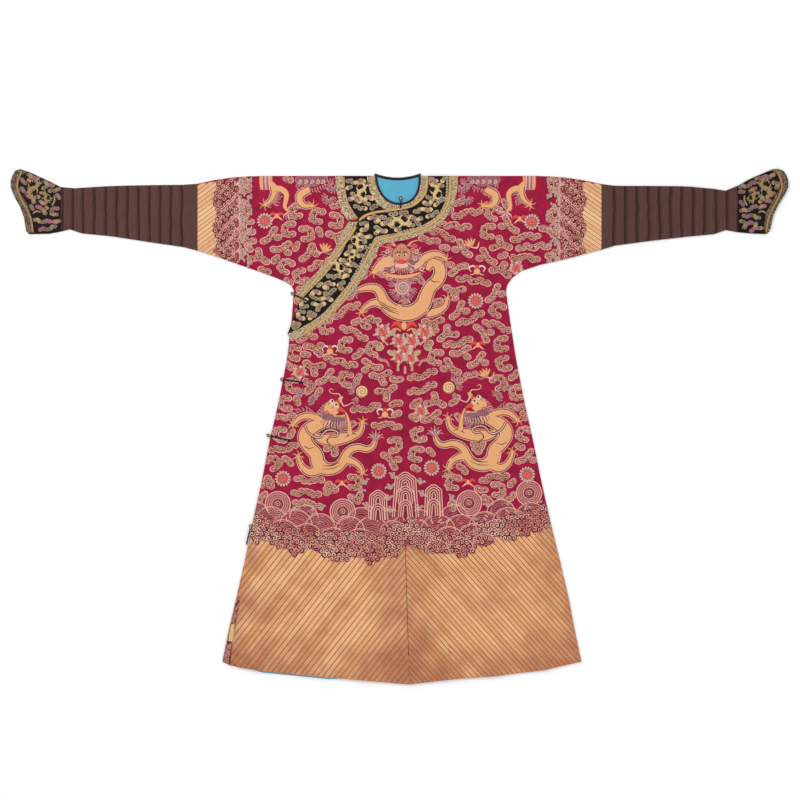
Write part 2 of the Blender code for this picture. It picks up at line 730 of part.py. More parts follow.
def main():
    """Build the robe."""
    clear_scene()
    materials = make_materials()
    silk = materials["crimson_silk"]
    body_half(1, "body_left", silk)
    body_half(-1, "body_right", silk)
    front_overlap(silk)
    lining_back(materials["turquoise_lining"])
    for sign, side in ((-1, "right"), (1, "left")):
        ribbed_sleeve(sign, f"sleeve_{side}", materials["ribbed_silk"])
        hoof_cuff(sign, f"cuff_{side}", materials["navy_silk"])
        cuff_border(sign, f"cuff_border_{side}", materials["brocade"])
    collar(materials)
    neck_bindings(materials["dark_binding"])
    fasteners(materials)


main()
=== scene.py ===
"""A chinese dragon robe of crimson silk laid flat, with its couched gold embroidery."""

import logging
import math
import random
from collections.abc import Iterable, Sequence
from dataclasses import dataclass, field, replace
from enum import Enum

import bmesh
import bpy
from mathutils import Matrix, Vector
from mathutils.bvhtree import BVHTree

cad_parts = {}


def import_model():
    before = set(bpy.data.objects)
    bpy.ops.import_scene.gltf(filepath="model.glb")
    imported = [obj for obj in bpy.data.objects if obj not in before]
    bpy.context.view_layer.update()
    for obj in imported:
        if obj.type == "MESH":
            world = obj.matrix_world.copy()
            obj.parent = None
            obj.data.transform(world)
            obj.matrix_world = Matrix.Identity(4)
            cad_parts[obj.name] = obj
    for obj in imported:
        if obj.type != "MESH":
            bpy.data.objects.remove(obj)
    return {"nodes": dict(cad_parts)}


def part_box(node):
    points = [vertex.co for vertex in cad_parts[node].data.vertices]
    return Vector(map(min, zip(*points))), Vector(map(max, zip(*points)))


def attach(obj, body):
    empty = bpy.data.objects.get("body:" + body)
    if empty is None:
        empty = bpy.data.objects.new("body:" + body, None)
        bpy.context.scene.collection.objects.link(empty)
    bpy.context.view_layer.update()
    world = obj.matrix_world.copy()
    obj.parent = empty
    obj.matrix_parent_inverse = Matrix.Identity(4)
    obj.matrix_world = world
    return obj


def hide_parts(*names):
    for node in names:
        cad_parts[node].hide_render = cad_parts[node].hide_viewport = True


LOG = logging.getLogger("robe")
MM = 0.001
SQUARE = 2.7  # mm, one square of the embroiderer's chart
CHART_MIDDLE = 399.5  # chart column of the robe's middle
BACK_MIDDLE = 406.0  # chart column of the hem's middle seam, about which the back's drawing is turned
CHART_TOP = 426.56  # chart rows from row 0 down to the frame's y of 0
SINK = 0.12  # mm that a stitched shape reaches into the cloth under it
UNDERSIDE = 0.35  # mm that the cloth clears the floor, where its back is embroidered

Place = tuple[float, float]
Values = Sequence[float]
Measures = dict[bmesh.types.BMVert, tuple[float, float, float]]  # along, across and in from the edge


def linear(colour: str) -> tuple[float, float, float, float]:
    """A colour from its sRGB hex value.

    Args:
        colour: six hex digits after a hash.

    Returns:
        Linear red, green and blue, and an alpha of 1.
    """
    parts = [int(colour[i : i + 2], 16) / 255 for i in (1, 3, 5)]
    red, green, blue = (p / 12.92 if p <= 0.04045 else ((p + 0.055) / 1.055) ** 2.4 for p in parts)
    return red, green, blue, 1.0


Socket = bpy.types.NodeSocket


def add_node(
    tree: bpy.types.NodeTree,
    kind: str,
    inputs: dict | None = None,
    out: int | str = 0,
    **settings: object,
) -> Socket:
    """Add a shader node with its settings and links.

    Args:
        tree: the material's node tree.
        kind: the node's Blender type.
        inputs: a value or a linked output for each input, by name or number.
        out: the output to return, by name or number.
        settings: the node's own properties.

    Returns:
        One of the new node's outputs.
    """
    node = tree.nodes.new(kind)
    for name, value in settings.items():
        setattr(node, name, value)
    for name, value in (inputs or {}).items():
        if isinstance(value, Socket):
            tree.links.new(value, node.inputs[name])
        else:
            node.inputs[name].default_value = value
    return node.outputs[out]


class Paint:
    """A material being made, with a short way to each node that the finishes share."""

    def __init__(self, name: str, roughness: float, specular: float, sheen: float = 0.0) -> None:
        """Start with a plain shader that reads the pieces' own places."""
        self.material = bpy.data.materials.new(name)
        self.material.use_nodes = True
        self.tree = self.material.node_tree
        self.shader = self.tree.nodes["Principled BSDF"]
        self.shader.inputs["Roughness"].default_value = roughness
        self.shader.inputs["Specular IOR Level"].default_value = specular
        self.shader.inputs["Sheen Weight"].default_value = sheen
        self.place = add_node(self.tree, "ShaderNodeTexCoord", out="Object")

    def axis(self, vector: Socket, index: int) -> Socket:
        """One of a vector's three values."""
        return add_node(self.tree, "ShaderNodeSeparateXYZ", {0: vector}, index)

    def stretched(self, scale: tuple[float, float, float]) -> Socket:
        """The pieces' own places, scaled apart along the three axes."""
        return add_node(self.tree, "ShaderNodeMapping", {"Vector": self.place, "Scale": scale})

    def noise(
        self, place: Socket, scale: float, detail: float, rough: float = 0.5, out: int | str = 0
    ) -> Socket:
        """Soft random patches, so many to a metre, with finer ones inside them."""
        inputs = {"Vector": place, "Scale": scale, "Detail": detail, "Roughness": rough}
        return add_node(self.tree, "ShaderNodeTexNoise", inputs, out)

    def math(self, operation: str, *values: Socket | float) -> Socket:
        """A sum on one to three values."""
        return add_node(self.tree, "ShaderNodeMath", dict(enumerate(values)), operation=operation)

    def ramp(
        self,
        value: Socket,
        low: float,
        high: float,
        least: float = 0.0,
        most: float = 1.0,
        **settings: object,
    ) -> Socket:
        """A value carried from one range to another, and held at its ends."""
        inputs = {"Value": value, "From Min": low, "From Max": high, "To Min": least, "To Max": most}
        return add_node(self.tree, "ShaderNodeMapRange", inputs, **settings)

    def mix(self, share: Socket, first: Socket | str, second: Socket | str) -> Socket:
        """Two colours mixed, each an sRGB hex value or another node's colour."""
        pair = [linear(colour) if isinstance(colour, str) else colour for colour in (first, second)]
        inputs = {0: share, 6: pair[0], 7: pair[1]}
        return add_node(self.tree, "ShaderNodeMix", inputs, 2, data_type="RGBA")

    def done(
        self, colour: Socket | str, height: Socket | None = None, strength: float = 0.0, depth: float = 0.0
    ) -> bpy.types.Material:
        """Set the shader's colour and bump.

        Args:
            colour: an sRGB hex value or a node's colour.
            height: what the bump follows, if there's one.
            strength: the bump's strength.
            depth: the bump's depth, in metres.

        Returns:
            The finished material.
        """
        if isinstance(colour, str):
            self.shader.inputs["Base Color"].default_value = linear(colour)
        else:
            self.tree.links.new(colour, self.shader.inputs["Base Color"])
        if height is not None:
            inputs = {"Height": height, "Strength": strength, "Distance": depth}
            bump = add_node(self.tree, "ShaderNodeBump", inputs)
            self.tree.links.new(bump, self.shader.inputs["Normal"])
        return self.material


@dataclass(frozen=True)
class WovenSilk:
    """Silk satin: the warp floats on its face, so it gleams softly along fine upright streaks."""

    name: str
    colour: str
    # The deep colour is a random darker tone, and on the crimson it is also painted shade of the silk's
    # small wrinkles.
    deep: str
    pale: str
    sheen: float = 0.05
    streak_mm: float = 2.6  # drawn coarser than the 0.2 mm thread, which wouldn't show
    patch_mm: float = 90.0

    def build(self) -> bpy.types.Material:
        """The satin as a material."""
        paint = Paint(self.name, 0.6, 0.15, self.sheen)
        place = paint.stretched((1000 / self.streak_mm, 60, 200))
        streak = paint.noise(place, 1.0, 2.0)
        patch = paint.noise(paint.place, 1000 / self.patch_mm, 3.0, 0.55)
        base = paint.mix(paint.ramp(patch, 0.35, 0.7), self.colour, self.deep)
        gleam = paint.math("MULTIPLY", paint.ramp(streak, 0.3, 0.75), 0.45)
        return paint.done(paint.mix(gleam, base, self.pale), streak, 0.25, 0.0004)


@dataclass(frozen=True)
class TuckedSilk:
    """Ribbed silk sewn in narrow tucks: every fold keeps a soft shadow on its outer side."""

    name: str
    colour: str
    deep: str
    pale: str
    start_mm: float
    pitch_mm: float

    def build(self) -> bpy.types.Material:
        """The tucked silk as a material, its shadows spaced like the tucks themselves."""
        paint = Paint(self.name, 0.65, 0.12)
        reach = paint.math("ABSOLUTE", paint.axis(paint.place, 0))
        tucks = paint.math("MULTIPLY_ADD", reach, 1000 / self.pitch_mm, -self.start_mm / self.pitch_mm)
        swing = paint.ramp(paint.noise(paint.place, 1000 / 80, 2.0), 0.0, 1.0, -0.2, 0.2)
        swung = paint.math("ADD", tucks, swing)
        fold = paint.math("FRACT", swung)
        shade = paint.ramp(fold, 0.0, 0.45, 1.0, 0.0, interpolation_type="SMOOTHSTEP")
        shade = paint.math("MULTIPLY", shade, paint.math("GREATER_THAN", swung, 0.0))
        rib = paint.noise(paint.stretched((1000 / 1.6, 1000 / 40, 1000 / 40)), 1.0, 2.0)
        face = paint.mix(paint.ramp(rib, 0.3, 0.8), self.colour, self.pale)
        return paint.done(paint.mix(shade, face, self.deep), rib, 0.3, 0.0004)


@dataclass(frozen=True)
class Brocade:
    """Metal-thread brocade: a close small figure, so the eye sees a glinting speckle."""

    name: str
    dark: str
    thread: str
    glint: str
    figure_mm: float = 3.6

    def build(self) -> bpy.types.Material:
        """The brocade as a material."""
        paint = Paint(self.name, 0.5, 0.2)
        figure = paint.noise(paint.place, 1000 / self.figure_mm, 1.0)
        spark = paint.noise(paint.place, 1000 / (self.figure_mm * 0.8), 0.0, out="Color")
        spark = add_node(paint.tree, "ShaderNodeSeparateColor", {0: spark}, 1)
        woven = paint.mix(paint.ramp(figure, 0.42, 0.56), self.dark, self.thread)
        return paint.done(paint.mix(paint.ramp(spark, 0.52, 0.64), woven, self.glint))


@dataclass(frozen=True)
class CouchedThread:
    """Gold-wrapped or silk thread laid in rows and couched down, so lines follow each shape's edge."""

    name: str
    thread: str
    second: str
    line: str
    rim: str
    rim_mm: float
    row_mm: float
    line_share: float
    line_strength: float
    dash_mm: float = 0.0
    coiled: bool = False
    speckle_mm: float = 4.0
    worn: str = ""  # the colour of the places that are rubbed through, and that the thread turns to towards the hem and the sides
    patch_mm: float = 75.0
    seam_m: float = 0.0175  # where a seam's rubbing is worst, across the frame
    ring_mm: float = 0.0  # a solid dark ring inside the rim

    def build(self) -> bpy.types.Material:
        """The couched work as a material that reads the stitches' own measures."""
        paint = Paint(self.name, 0.6, 0.15)
        stitch = add_node(paint.tree, "ShaderNodeUVMap", uv_map="stitch")
        along, across = paint.axis(stitch, 0), paint.axis(stitch, 1)
        depth, tint = (
            add_node(paint.tree, "ShaderNodeAttribute", out="Fac", attribute_name=name)
            for name in ("depth", "tint")
        )
        inside = self.rim_mm + self.ring_mm
        rows = paint.math("DIVIDE", paint.math("SUBTRACT", depth, inside), self.row_mm)
        if self.coiled:
            turn = paint.math("ARCTAN2", across, along)
            rows = paint.math("ADD", rows, paint.math("DIVIDE", turn, math.tau))
        wave = paint.math("PINGPONG", rows, 0.5)
        half = self.line_share / 2
        mask = paint.ramp(wave, half + 0.06, half - 0.06)
        if self.dash_mm:
            beat = paint.math("SINE", paint.math("MULTIPLY", along, math.tau / self.dash_mm))
            beat = paint.ramp(beat, -0.3, 0.3, 0.1)
            outer = paint.ramp(depth, inside + 2.2, inside + 1.8)
            mask = paint.math("MULTIPLY", mask, paint.math("MAXIMUM", beat, outer))
        speckle = paint.noise(paint.place, 1000 / self.speckle_mm, 2.0)
        blend = paint.ramp(paint.math("ADD", speckle, tint), 0.65, 1.35)
        body = paint.mix(blend, self.thread, self.second)
        if self.worn:
            body = paint.mix(self._rubbed(paint), body, self.worn)
        lined = paint.mix(paint.math("MULTIPLY", mask, self.line_strength), body, self.line)
        # The rim: on most threads an outline, and on the gold scales a painted shade at their edges.
        edge = paint.ramp(depth, self.rim_mm + 0.3, self.rim_mm - 0.3)
        return paint.done(paint.mix(edge, lined, self.rim), wave, 0.35, 0.0005)

    def _rubbed(self, paint: Paint) -> Socket:
        """How far the thread turns to its worn colour: rubbed in patches and by the seam, and more towards
        the sides and the hem.
        """
        rub = paint.noise(paint.place, 1000 / self.patch_mm, 4.0, 0.6)
        aside = paint.math("SUBTRACT", paint.axis(paint.place, 0), self.seam_m)
        aside = paint.math("ABSOLUTE", aside)
        seam = paint.ramp(aside, 0.0, 0.12, 0.3, 0.0)
        # Darker towards the sides and towards the hem.
        side = paint.ramp(aside, 0.28, 0.46, 0.0, 0.24)
        hem = paint.ramp(paint.axis(paint.place, 1), -0.54, -0.68, 0.0, 0.27)
        for more in (seam, hem, side):
            rub = paint.math("ADD", rub, more)
        return paint.ramp(rub, 0.46, 0.95, 0.0, 0.8)


class Thread(Enum):
    """The threads of the embroidery, in the order of their material slots."""

    # Its darker rim is painted shade, where the raised gold rounds down at its edges.
    GOLD = CouchedThread(
        "couched_gold_scales", "#EBB07C", "#DFA070", "#B06A42", "#C9865C", 0.9, 4.2, 0.35, 0.5, 5.4
    )
    STRIPE = CouchedThread(
        "couched_gold_stripes", "#F3C493", "#DEA46F", "#BC7C4C", "#9C4826", 1.0, 3.4, 0.4, 0.5,
        worn="#985A4A", speckle_mm=6.0,
    )
    CLOUD = CouchedThread(
        "couched_cloud_thread", "#DDA28E", "#C98D78", "#54141F", "#E0A09B", 1.8, 3.9, 0.46, 0.95,
        ring_mm=0.3, coiled=True,
    )
    CURL = CouchedThread(
        "couched_wave_curls", "#F0BDA8", "#D9867C", "#5A161A", "#561518", 1.1, 5.4, 0.58, 1.0, coiled=True
    )
    HILL = CouchedThread(
        "laid_wave_bands", "#C47C76", "#A8485A", "#661824", "#A9565A", 0.6, 5.6, 0.5, 1.0
    )
    CREAM = CouchedThread(
        "cream_silk_floss", "#E9B5A6", "#E0A596", "#D9A08F", "#E0A596", 0.4, 4.0, 0.2, 0.2
    )
    PINK = CouchedThread(
        "pink_silk_floss", "#D2706F", "#C4606A", "#B85563", "#C4606A", 0.4, 4.0, 0.2, 0.2
    )
    RED = CouchedThread(
        "vermilion_silk_floss", "#DB554B", "#D0483F", "#B93A3C", "#B9402F", 0.9, 3.0, 0.3, 0.4
    )
    WHITE = CouchedThread(
        "white_silk_floss", "#EAD6CB", "#D9BDB2", "#B98F86", "#E2C6BB", 0.8, 3.0, 0.3, 0.3
    )
    PETAL = CouchedThread(
        "faded_petal_silk_floss", "#DDB3A4", "#CB998E", "#8E4A50", "#E0B4A4", 0.8, 3.0, 0.3, 0.4
    )
    BLACK = CouchedThread(
        "black_silk_floss", "#1A1312", "#241A18", "#120D0C", "#1A1312", 0.3, 3.0, 0.2, 0.2
    )
    OUTLINE = CouchedThread(
        "maroon_outline_thread", "#55202A", "#4A1A24", "#4A1A24", "#55202A", 0.3, 3.0, 0.2, 0.2
    )
    MANE = CouchedThread(
        "grey_rose_silk_floss", "#A56F76", "#8D5A66", "#5A2A38", "#CFA09A", 0.8, 3.4, 0.5, 0.8, 6.0
    )
    FACE = CouchedThread(
        "apricot_silk_floss", "#D8936C", "#CB8160", "#8E4A3A", "#A85B45", 0.8, 4.0, 0.4, 0.5, 4.0
    )
    PALE_ROSE = CouchedThread(
        "pale_rose_couching", "#C49A8C", "#A57C70", "#4A2630", "#E2B2A6", 1.1, 3.0, 0.4, 0.7
    )
    LEAF = CouchedThread(
        "sage_silk_floss", "#C9AE86", "#AF9B70", "#5E4A38", "#DDB398", 1.2, 3.4, 0.45, 0.7, 4.0
    )
    OLD_GOLD = CouchedThread(
        "old_gold_couching", "#E2C68E", "#D2AF76", "#8A6A45", "#4A3524", 0.6, 3.2, 0.4, 0.5, 3.4
    )
    PALE = CouchedThread(
        "pale_cloud_couching", "#C9B394", "#A8926F", "#1E1412", "#CDBB9C", 1.2, 4.0, 0.5, 0.95,
        ring_mm=0.3, coiled=True,
    )
    STRAP = CouchedThread(
        "gold_strip_couching", "#D6AC70", "#C59A60", "#8C6743", "#A57C4C", 0.8, 2.8, 0.35, 0.4
    )
    PEARL = CouchedThread(
        "coiled_pearl_couching", "#EBC795", "#E2B885", "#A0603F", "#8E4634", 1.4, 7.2, 0.4, 0.8, coiled=True
    )
    BAND = CouchedThread(
        "couched_gold_band", "#F2CBA2", "#DDA87C", "#C48A5E", "#A8623A", 0.8, 3.4, 0.35, 0.4, speckle_mm=6.0
    )
    DULL = CouchedThread(
        "dull_gold_couching", "#AE8F66", "#937650", "#3A2A1C", "#4E3A28", 0.7, 3.2, 0.4, 0.6, 3.4
    )
    DIM = CouchedThread(
        "dim_cloud_couching", "#A08C7A", "#857262", "#17100E", "#A8957F", 1.1, 4.0, 0.5, 0.95,
        ring_mm=0.3, coiled=True,
    )
    BANK = CouchedThread(
        "dark_rose_laid_silk", "#86283A", "#7A2030", "#6E1C2C", "#77292B", 0.6, 3.0, 0.3, 0.3
    )


@dataclass
class Palette:
    """The materials that more than one piece shares, each made once."""

    made: dict[str, bpy.types.Material] = field(default_factory=dict)

    def get(self, finish: object) -> bpy.types.Material:
        """The material of a finish, built when it's first asked for."""
        if finish.name not in self.made:
            self.made[finish.name] = finish.build()
        return self.made[finish.name]


PALETTE = Palette()


def smooth_line(points: Sequence[Values], step: float) -> list[Vector]:
    """A smooth line through a few places.

    Args:
        points: the places, in chart squares.
        step: the distance between the line's points.

    Returns:
        Points of the Catmull-Rom curve, evenly spaced.
    """
    given = [Vector(point[:2]) for point in points]
    ends = [2 * given[0] - given[1], *given, 2 * given[-1] - given[-2]]
    fine = []
    for before, start, stop, after in zip(ends, ends[1:], ends[2:], ends[3:]):
        for i in range(12):
            t = i / 12
            fine.append(
                0.5
                * (
                    2 * start
                    + t * (stop - before)
                    + t**2 * (2 * before - 5 * start + 4 * stop - after)
                    + t**3 * (3 * start - before - 3 * stop + after)
                )
            )
    fine.append(given[-1])
    reach = [0.0]
    for start, stop in zip(fine, fine[1:]):
        reach.append(reach[-1] + (stop - start).length)
    count = max(2, round(reach[-1] / step))
    line, at = [], 0
    for i in range(count + 1):
        want = reach[-1] * i / count
        while at < len(fine) - 2 and reach[at + 1] < want:
            at += 1
        span = max(reach[at + 1] - reach[at], 1e-9)
        line.append(fine[at].lerp(fine[at + 1], min(1.0, (want - reach[at]) / span)))
    return line


def blended(values: Values, share: float) -> float:
    """The value at a share of the way through a short list of values."""
    place = min(max(share, 0.0), 1.0) * (len(values) - 1)
    index = min(int(place), len(values) - 2)
    return values[index] + (values[index + 1] - values[index]) * (place - index)


def domed(share: float, rim: float) -> float:
    """How high a stitched shape stands, from 1 in its middle to its rim's height at a share of 1."""
    return rim + (1 - rim) * math.sqrt(max(0.0, 1 - share * share))


def ray(degrees: float) -> Vector:
    """The way that an angle points on the chart."""
    return Vector((math.cos(math.radians(degrees)), math.sin(math.radians(degrees))))


def aside_of(way: Vector) -> Vector:
    """The way at a right angle to another."""
    return Vector((-way.y, way.x))


def spread(centre: Place, side: int, *places: Place) -> list[Place]:
    """Places given outwards and down from a middle, on its right (1) or left (-1)."""
    return [(centre[0] + side * out, centre[1] + down) for out, down in places]


class Ground:
    """The cloth that stitches lie on, seen from above or from under the robe."""

    def __init__(
        self, pieces: Iterable[bpy.types.Object], side: int = 1, middle: float = CHART_MIDDLE
    ) -> None:
        """Gather the cloth's surfaces.

        Args:
            pieces: the cloth's objects.
            side: 1 for the face that looks up and -1 for the face on the floor.
            middle: the column about which the drawing is turned for the face on the floor.
        """
        gathered = bmesh.new()
        for piece in pieces:
            gathered.from_mesh(piece.data)
        self.tree = BVHTree.FromBMesh(gathered)
        self.side = side
        self.middle = middle
        gathered.free()

    def hit(self, place: Vector) -> Vector | None:
        """Where the cloth lies over or under a place of the frame, if it does."""
        start = Vector((place.x, place.y, 0.1 * self.side))
        return self.tree.ray_cast(start, Vector((0, 0, -self.side)))[0]

    def covers(self, column: float, row: float) -> bool:
        """Whether the cloth reaches a place of the chart."""
        return self.hit(self.framed(column, row)) is not None

    def bare(self, column: float, row: float, above: "Ground | None" = None) -> bool:
        """Whether the cloth shows at a place of the chart, with no other cloth over it."""
        if above is None:
            return self.covers(column, row)
        level = self.level(column, row)
        return level > -0.9 and abs(above.level(column, row) - level) < 0.3

    def framed(self, column: float, row: float) -> Vector:
        """A place of the chart in the frame, in metres."""
        if self.side < 0:
            column = 2 * self.middle - column
        return Vector((column - CHART_MIDDLE, CHART_TOP - row, 0)) * SQUARE * MM

    def lay(self, point: Vector) -> Vector:
        """Lay a stitched point, drawn in chart squares with its height in mm, on the cloth."""
        place = self.framed(point.x, -point.y)
        found = self.hit(place)
        if found is None:
            place.z = 0.02 * self.side
            found = self.tree.find_nearest(place)[0]
        height = point.z if self.side > 0 else -0.14 * max(point.z, 0.0)
        return found + Vector((0, 0, height * MM))

    def level(self, column: float, row: float) -> float:
        """The height of the cloth at a place of the chart in mm, or -1 where there's none."""
        found = self.hit(self.framed(column, row))
        return -1.0 if found is None else found.z / MM

    def reach(self, start: Vector, stop: Vector, low: float, high: float) -> tuple[Vector, Vector] | None:
        """The stretch of a line of the chart where the cloth's height lies between two heights.

        Args:
            start: the line's start.
            stop: its end.
            low: the least height of the cloth, in mm.
            high: its greatest height.

        Returns:
            The ends of the first stretch, or nothing when the cloth isn't met.
        """
        count = max(4, round((stop - start).length / 1.5))

        def holds(share: float) -> bool:
            place = start.lerp(stop, share)
            return low <= self.level(*place) <= high

        held = [holds(i / count) for i in range(count + 1)]
        if True not in held:
            return None
        first = held.index(True)
        last = first
        while last < count and held[last + 1]:
            last += 1
        ends = []
        for inside, outside in ((first, first - 1), (last, last + 1)):
            near, far = inside / count, min(max(outside, 0), count) / count
            for _ in range(6):
                middle = (near + far) / 2
                near, far = (middle, far) if holds(middle) else (near, middle)
            ends.append(start.lerp(stop, near))
        return ends[0], ends[1]


class Needlework:
    """Raised stitches gathered in one mesh, drawn by the columns and rows of the chart."""

    def __init__(self) -> None:
        """Start with an empty cloth."""
        self.mesh = bmesh.new()
        self.mesh.loops.layers.uv.new("stitch")
        self.mesh.verts.layers.float.new("depth")
        self.mesh.verts.layers.float.new("tint")

    def _finish_shape(self, measures: Measures, thread: Thread, tint: float) -> None:
        """Give a flat shape its stitches' measures and close it underneath."""
        stitch = self.mesh.loops.layers.uv["stitch"]
        deep = self.mesh.verts.layers.float["depth"]
        shade = self.mesh.verts.layers.float["tint"]
        faces = list({face for vert in measures for face in vert.link_faces})
        for vert, (_, _, depth) in measures.items():
            vert[deep] = depth * SQUARE
            vert[shade] = tint
        for face in faces:
            face.material_index = list(Thread).index(thread)
            for loop in face.loops:
                along, across, _ = measures[loop.vert]
                loop[stitch].uv = (along * SQUARE, across * SQUARE)
        made = bmesh.ops.extrude_face_region(self.mesh, geom=faces)["geom"]
        skin = [item for item in made if isinstance(item, bmesh.types.BMVert)]
        for vert in measures:
            vert.co.z = -SINK
        whole = {face for vert in [*skin, *measures] for face in vert.link_faces}
        bmesh.ops.recalc_face_normals(self.mesh, faces=list(whole))
        top = next(item for item in made if isinstance(item, bmesh.types.BMFace))
        top.normal_update()
        if top.normal.z < 0:
            bmesh.ops.reverse_faces(self.mesh, faces=list(whole))

    def stroke(
        self,
        points: Sequence[Values],
        widths: Values,
        thread: Thread,
        height: float = 0.5,
        step: float = 2.4,
        ribs: int = 2,
        lift: float = 0.0,
        tint: float = 0.5,
    ) -> None:
        """A band of laid thread along a line.

        Args:
            points: the line's places.
            widths: the band's width along the line.
            thread: its thread.
            height: how far its middle rises, in mm.
            step: the length of its spans.
            ribs: the spans across it.
            lift: how far it lies over the cloth, in mm.
            tint: where its colour lies between the thread's two colours.
        """
        line = smooth_line([(point[0], -point[1]) for point in points], step)
        rows = len(line) - 1
        reach = [0.0]
        for start, stop in zip(line, line[1:]):
            reach.append(reach[-1] + (stop - start).length)
        made = bmesh.ops.create_grid(self.mesh, x_segments=rows, y_segments=ribs, size=1.0)
        measures = {}
        for vert in made["verts"]:
            i = round((vert.co.x + 1) / 2 * rows)
            share = vert.co.y
            heading = line[min(i + 1, rows)] - line[max(i - 1, 0)]
            aside = aside_of(heading).normalized()
            width = max(blended(widths, i / rows), 0.12)
            place = line[i] + aside * (share * width / 2)
            to_end = min(reach[i], reach[-1] - reach[i]) + 0.15 * width
            depth = min((1 - abs(share)) * width / 2, to_end)
            vert.co = (place.x, place.y, lift + height * domed(share, 0.4))
            measures[vert] = (reach[i], share * width / 2, depth)
        self._finish_shape(measures, thread, tint)

    def strip(
        self,
        lines: Sequence[tuple[Vector, Vector]],
        thread: Thread,
        height: float,
        step: float,
        lift: float = 0.0,
        tint: float = 0.5,
    ) -> None:
        """A straight stripe between lines that each keep their own ends, as where cloth ends aslant.

        Args:
            lines: each line's ends, from one side of the stripe to the other.
            thread: its thread.
            height: how far its middle rises, in mm.
            step: the length of its spans.
            lift: how far it lies over the cloth, in mm.
            tint: where its colour lies between the thread's two colours.
        """
        rows = max(2, round(max((stop - start).length for start, stop in lines) / step))
        made = bmesh.ops.create_grid(self.mesh, x_segments=rows, y_segments=len(lines) - 1, size=1.0)
        heading = max((stop - start for start, stop in lines), key=lambda run: run.length).normalized()
        width = abs(heading.cross(lines[-1][0] - lines[0][0])) / 2
        measures = {}
        for vert in made["verts"]:
            share = vert.co.y
            start, stop = lines[round((share + 1) / 2 * (len(lines) - 1))]
            place = start.lerp(stop, (vert.co.x + 1) / 2)
            along = (place - lines[0][0]).dot(heading)
            vert.co = (place.x, -place.y, lift + height * domed(share, 0.4))
            measures[vert] = (along, share * width, (1 - abs(share)) * width)
        self._finish_shape(measures, thread, tint)

    def disc(
        self,
        centre: Place,
        size: Values,
        thread: Thread,
        height: float = 0.5,
        turn: float = 0.0,
        sides: int = 12,
        lift: float = 0.0,
        tint: float = 0.5,
    ) -> None:
        """A round or oval patch of thread.

        Args:
            centre: its middle.
            size: half its width and half its height.
            thread: its thread.
            height: how far its middle rises, in mm.
            turn: how far it's turned, in degrees.
            sides: the sides of its outline.
            lift: how far it lies over the cloth, in mm.
            tint: where its colour lies between the thread's two colours.
        """
        made = bmesh.ops.create_circle(self.mesh, cap_ends=True, segments=sides, radius=1.0)
        cap = made["verts"][0].link_faces[0]
        bmesh.ops.inset_individual(self.mesh, faces=[cap], thickness=0.42)
        middle = bmesh.ops.poke(self.mesh, faces=[cap])["verts"][0]
        rings = {vert for face in middle.link_faces for vert in face.verts}
        verts = rings | set(made["verts"])
        spin = Matrix.Rotation(math.radians(turn), 2)
        measures = {}
        for vert in verts:
            share = min(1.0, vert.co.xy.length)
            flat = Vector((vert.co.x * size[0], vert.co.y * size[1]))
            place = Vector((centre[0], -centre[1])) + spin @ flat
            vert.co = (place.x, place.y, lift + height * domed(share, 0.35))
            measures[vert] = (flat.x, flat.y, (1 - share) * min(size))
        self._finish_shape(measures, thread, tint)

    def coil(
        self, centre: Place, radius: float, turns: float, width: float, thread: Thread, **more: float
    ) -> None:
        """A line of thread wound into a flat coil, starting in its middle."""
        count = max(8, round(turns * 10))
        points = []
        for i in range(count + 1):
            share = i / count
            angle = share * turns * math.tau
            reach = radius * (0.12 + 0.88 * share)
            points.append((centre[0] + reach * math.cos(angle), centre[1] + reach * math.sin(angle)))
        self.stroke(points, (width * 0.6, width, width), thread, step=radius * 0.45, **more)

    def trim(self, seam: Sequence[Place], side: int) -> None:
        """Cut away what passes a straight seam towards its right (1) or left (-1), and close the cut."""
        (column, row), (foot_column, foot_row) = seam
        cut = bmesh.ops.bisect_plane(
            self.mesh,
            geom=[*self.mesh.verts, *self.mesh.edges, *self.mesh.faces],
            plane_co=(column, -row, 0),
            plane_no=(side * (foot_row - row), side * (foot_column - column), 0),
            clear_outer=True,
        )
        edges = [item for item in cut["geom_cut"] if isinstance(item, bmesh.types.BMEdge)]
        bmesh.ops.holes_fill(self.mesh, edges=edges, sides=0)

    def pattern(self) -> bpy.types.Mesh:
        """The stitches as a pattern to stamp elsewhere."""
        data = bpy.data.meshes.new("pattern")
        self.mesh.to_mesh(data)
        self.mesh.free()
        return data

    def stamp(
        self,
        pattern: bpy.types.Mesh,
        place: Place,
        turn: float = 0.0,
        scale: Values = (1, 1),
        tint: float | None = None,
        lift: float = 0.0,
    ) -> None:
        """Copy a pattern to a place.

        Args:
            pattern: the stitches to copy.
            place: where its origin goes.
            turn: how far it's turned, in degrees.
            scale: its scale across and up, either of which may mirror it.
            tint: the colour of this copy between its thread's two colours.
            lift: how far it's raised, in mm.
        """
        copy = pattern.copy()
        sizes = Matrix.Diagonal((*scale, 1, 1))
        spin = Matrix.Rotation(math.radians(turn), 4, "Z")
        copy.transform(Matrix.Translation((place[0], -place[1], lift)) @ spin @ sizes)
        if scale[0] * scale[1] < 0:
            copy.flip_normals()
        if tint is not None:
            copy.attributes["tint"].data.foreach_set("value", [tint] * len(copy.vertices))
        self.mesh.from_mesh(copy)
        bpy.data.meshes.remove(copy)

    def sew(self, name: str, ground: Ground, slot: str) -> bpy.types.Object:
        """Lay the stitches on the cloth as one piece.

        Args:
            name: the piece's name.
            ground: the cloth that it lies on.
            slot: the record's material slot.

        Returns:
            slot: a material slot's name, handed on to placed.
        """
        for vert in self.mesh.verts:
            vert.co = ground.lay(vert.co)
        data = bpy.data.meshes.new(name)
        self.mesh.to_mesh(data)
        self.mesh.free()
        used = sorted({face.material_index for face in data.polygons})
        for index in used:
            data.materials.append(PALETTE.get(list(Thread)[index].value))
        order = {index: place for place, index in enumerate(used)}
        for face in data.polygons:
            face.material_index = order[face.material_index]
        data.shade_smooth()
        data.set_sharp_from_angle(angle=math.radians(50))
        return placed(name, data, slot)


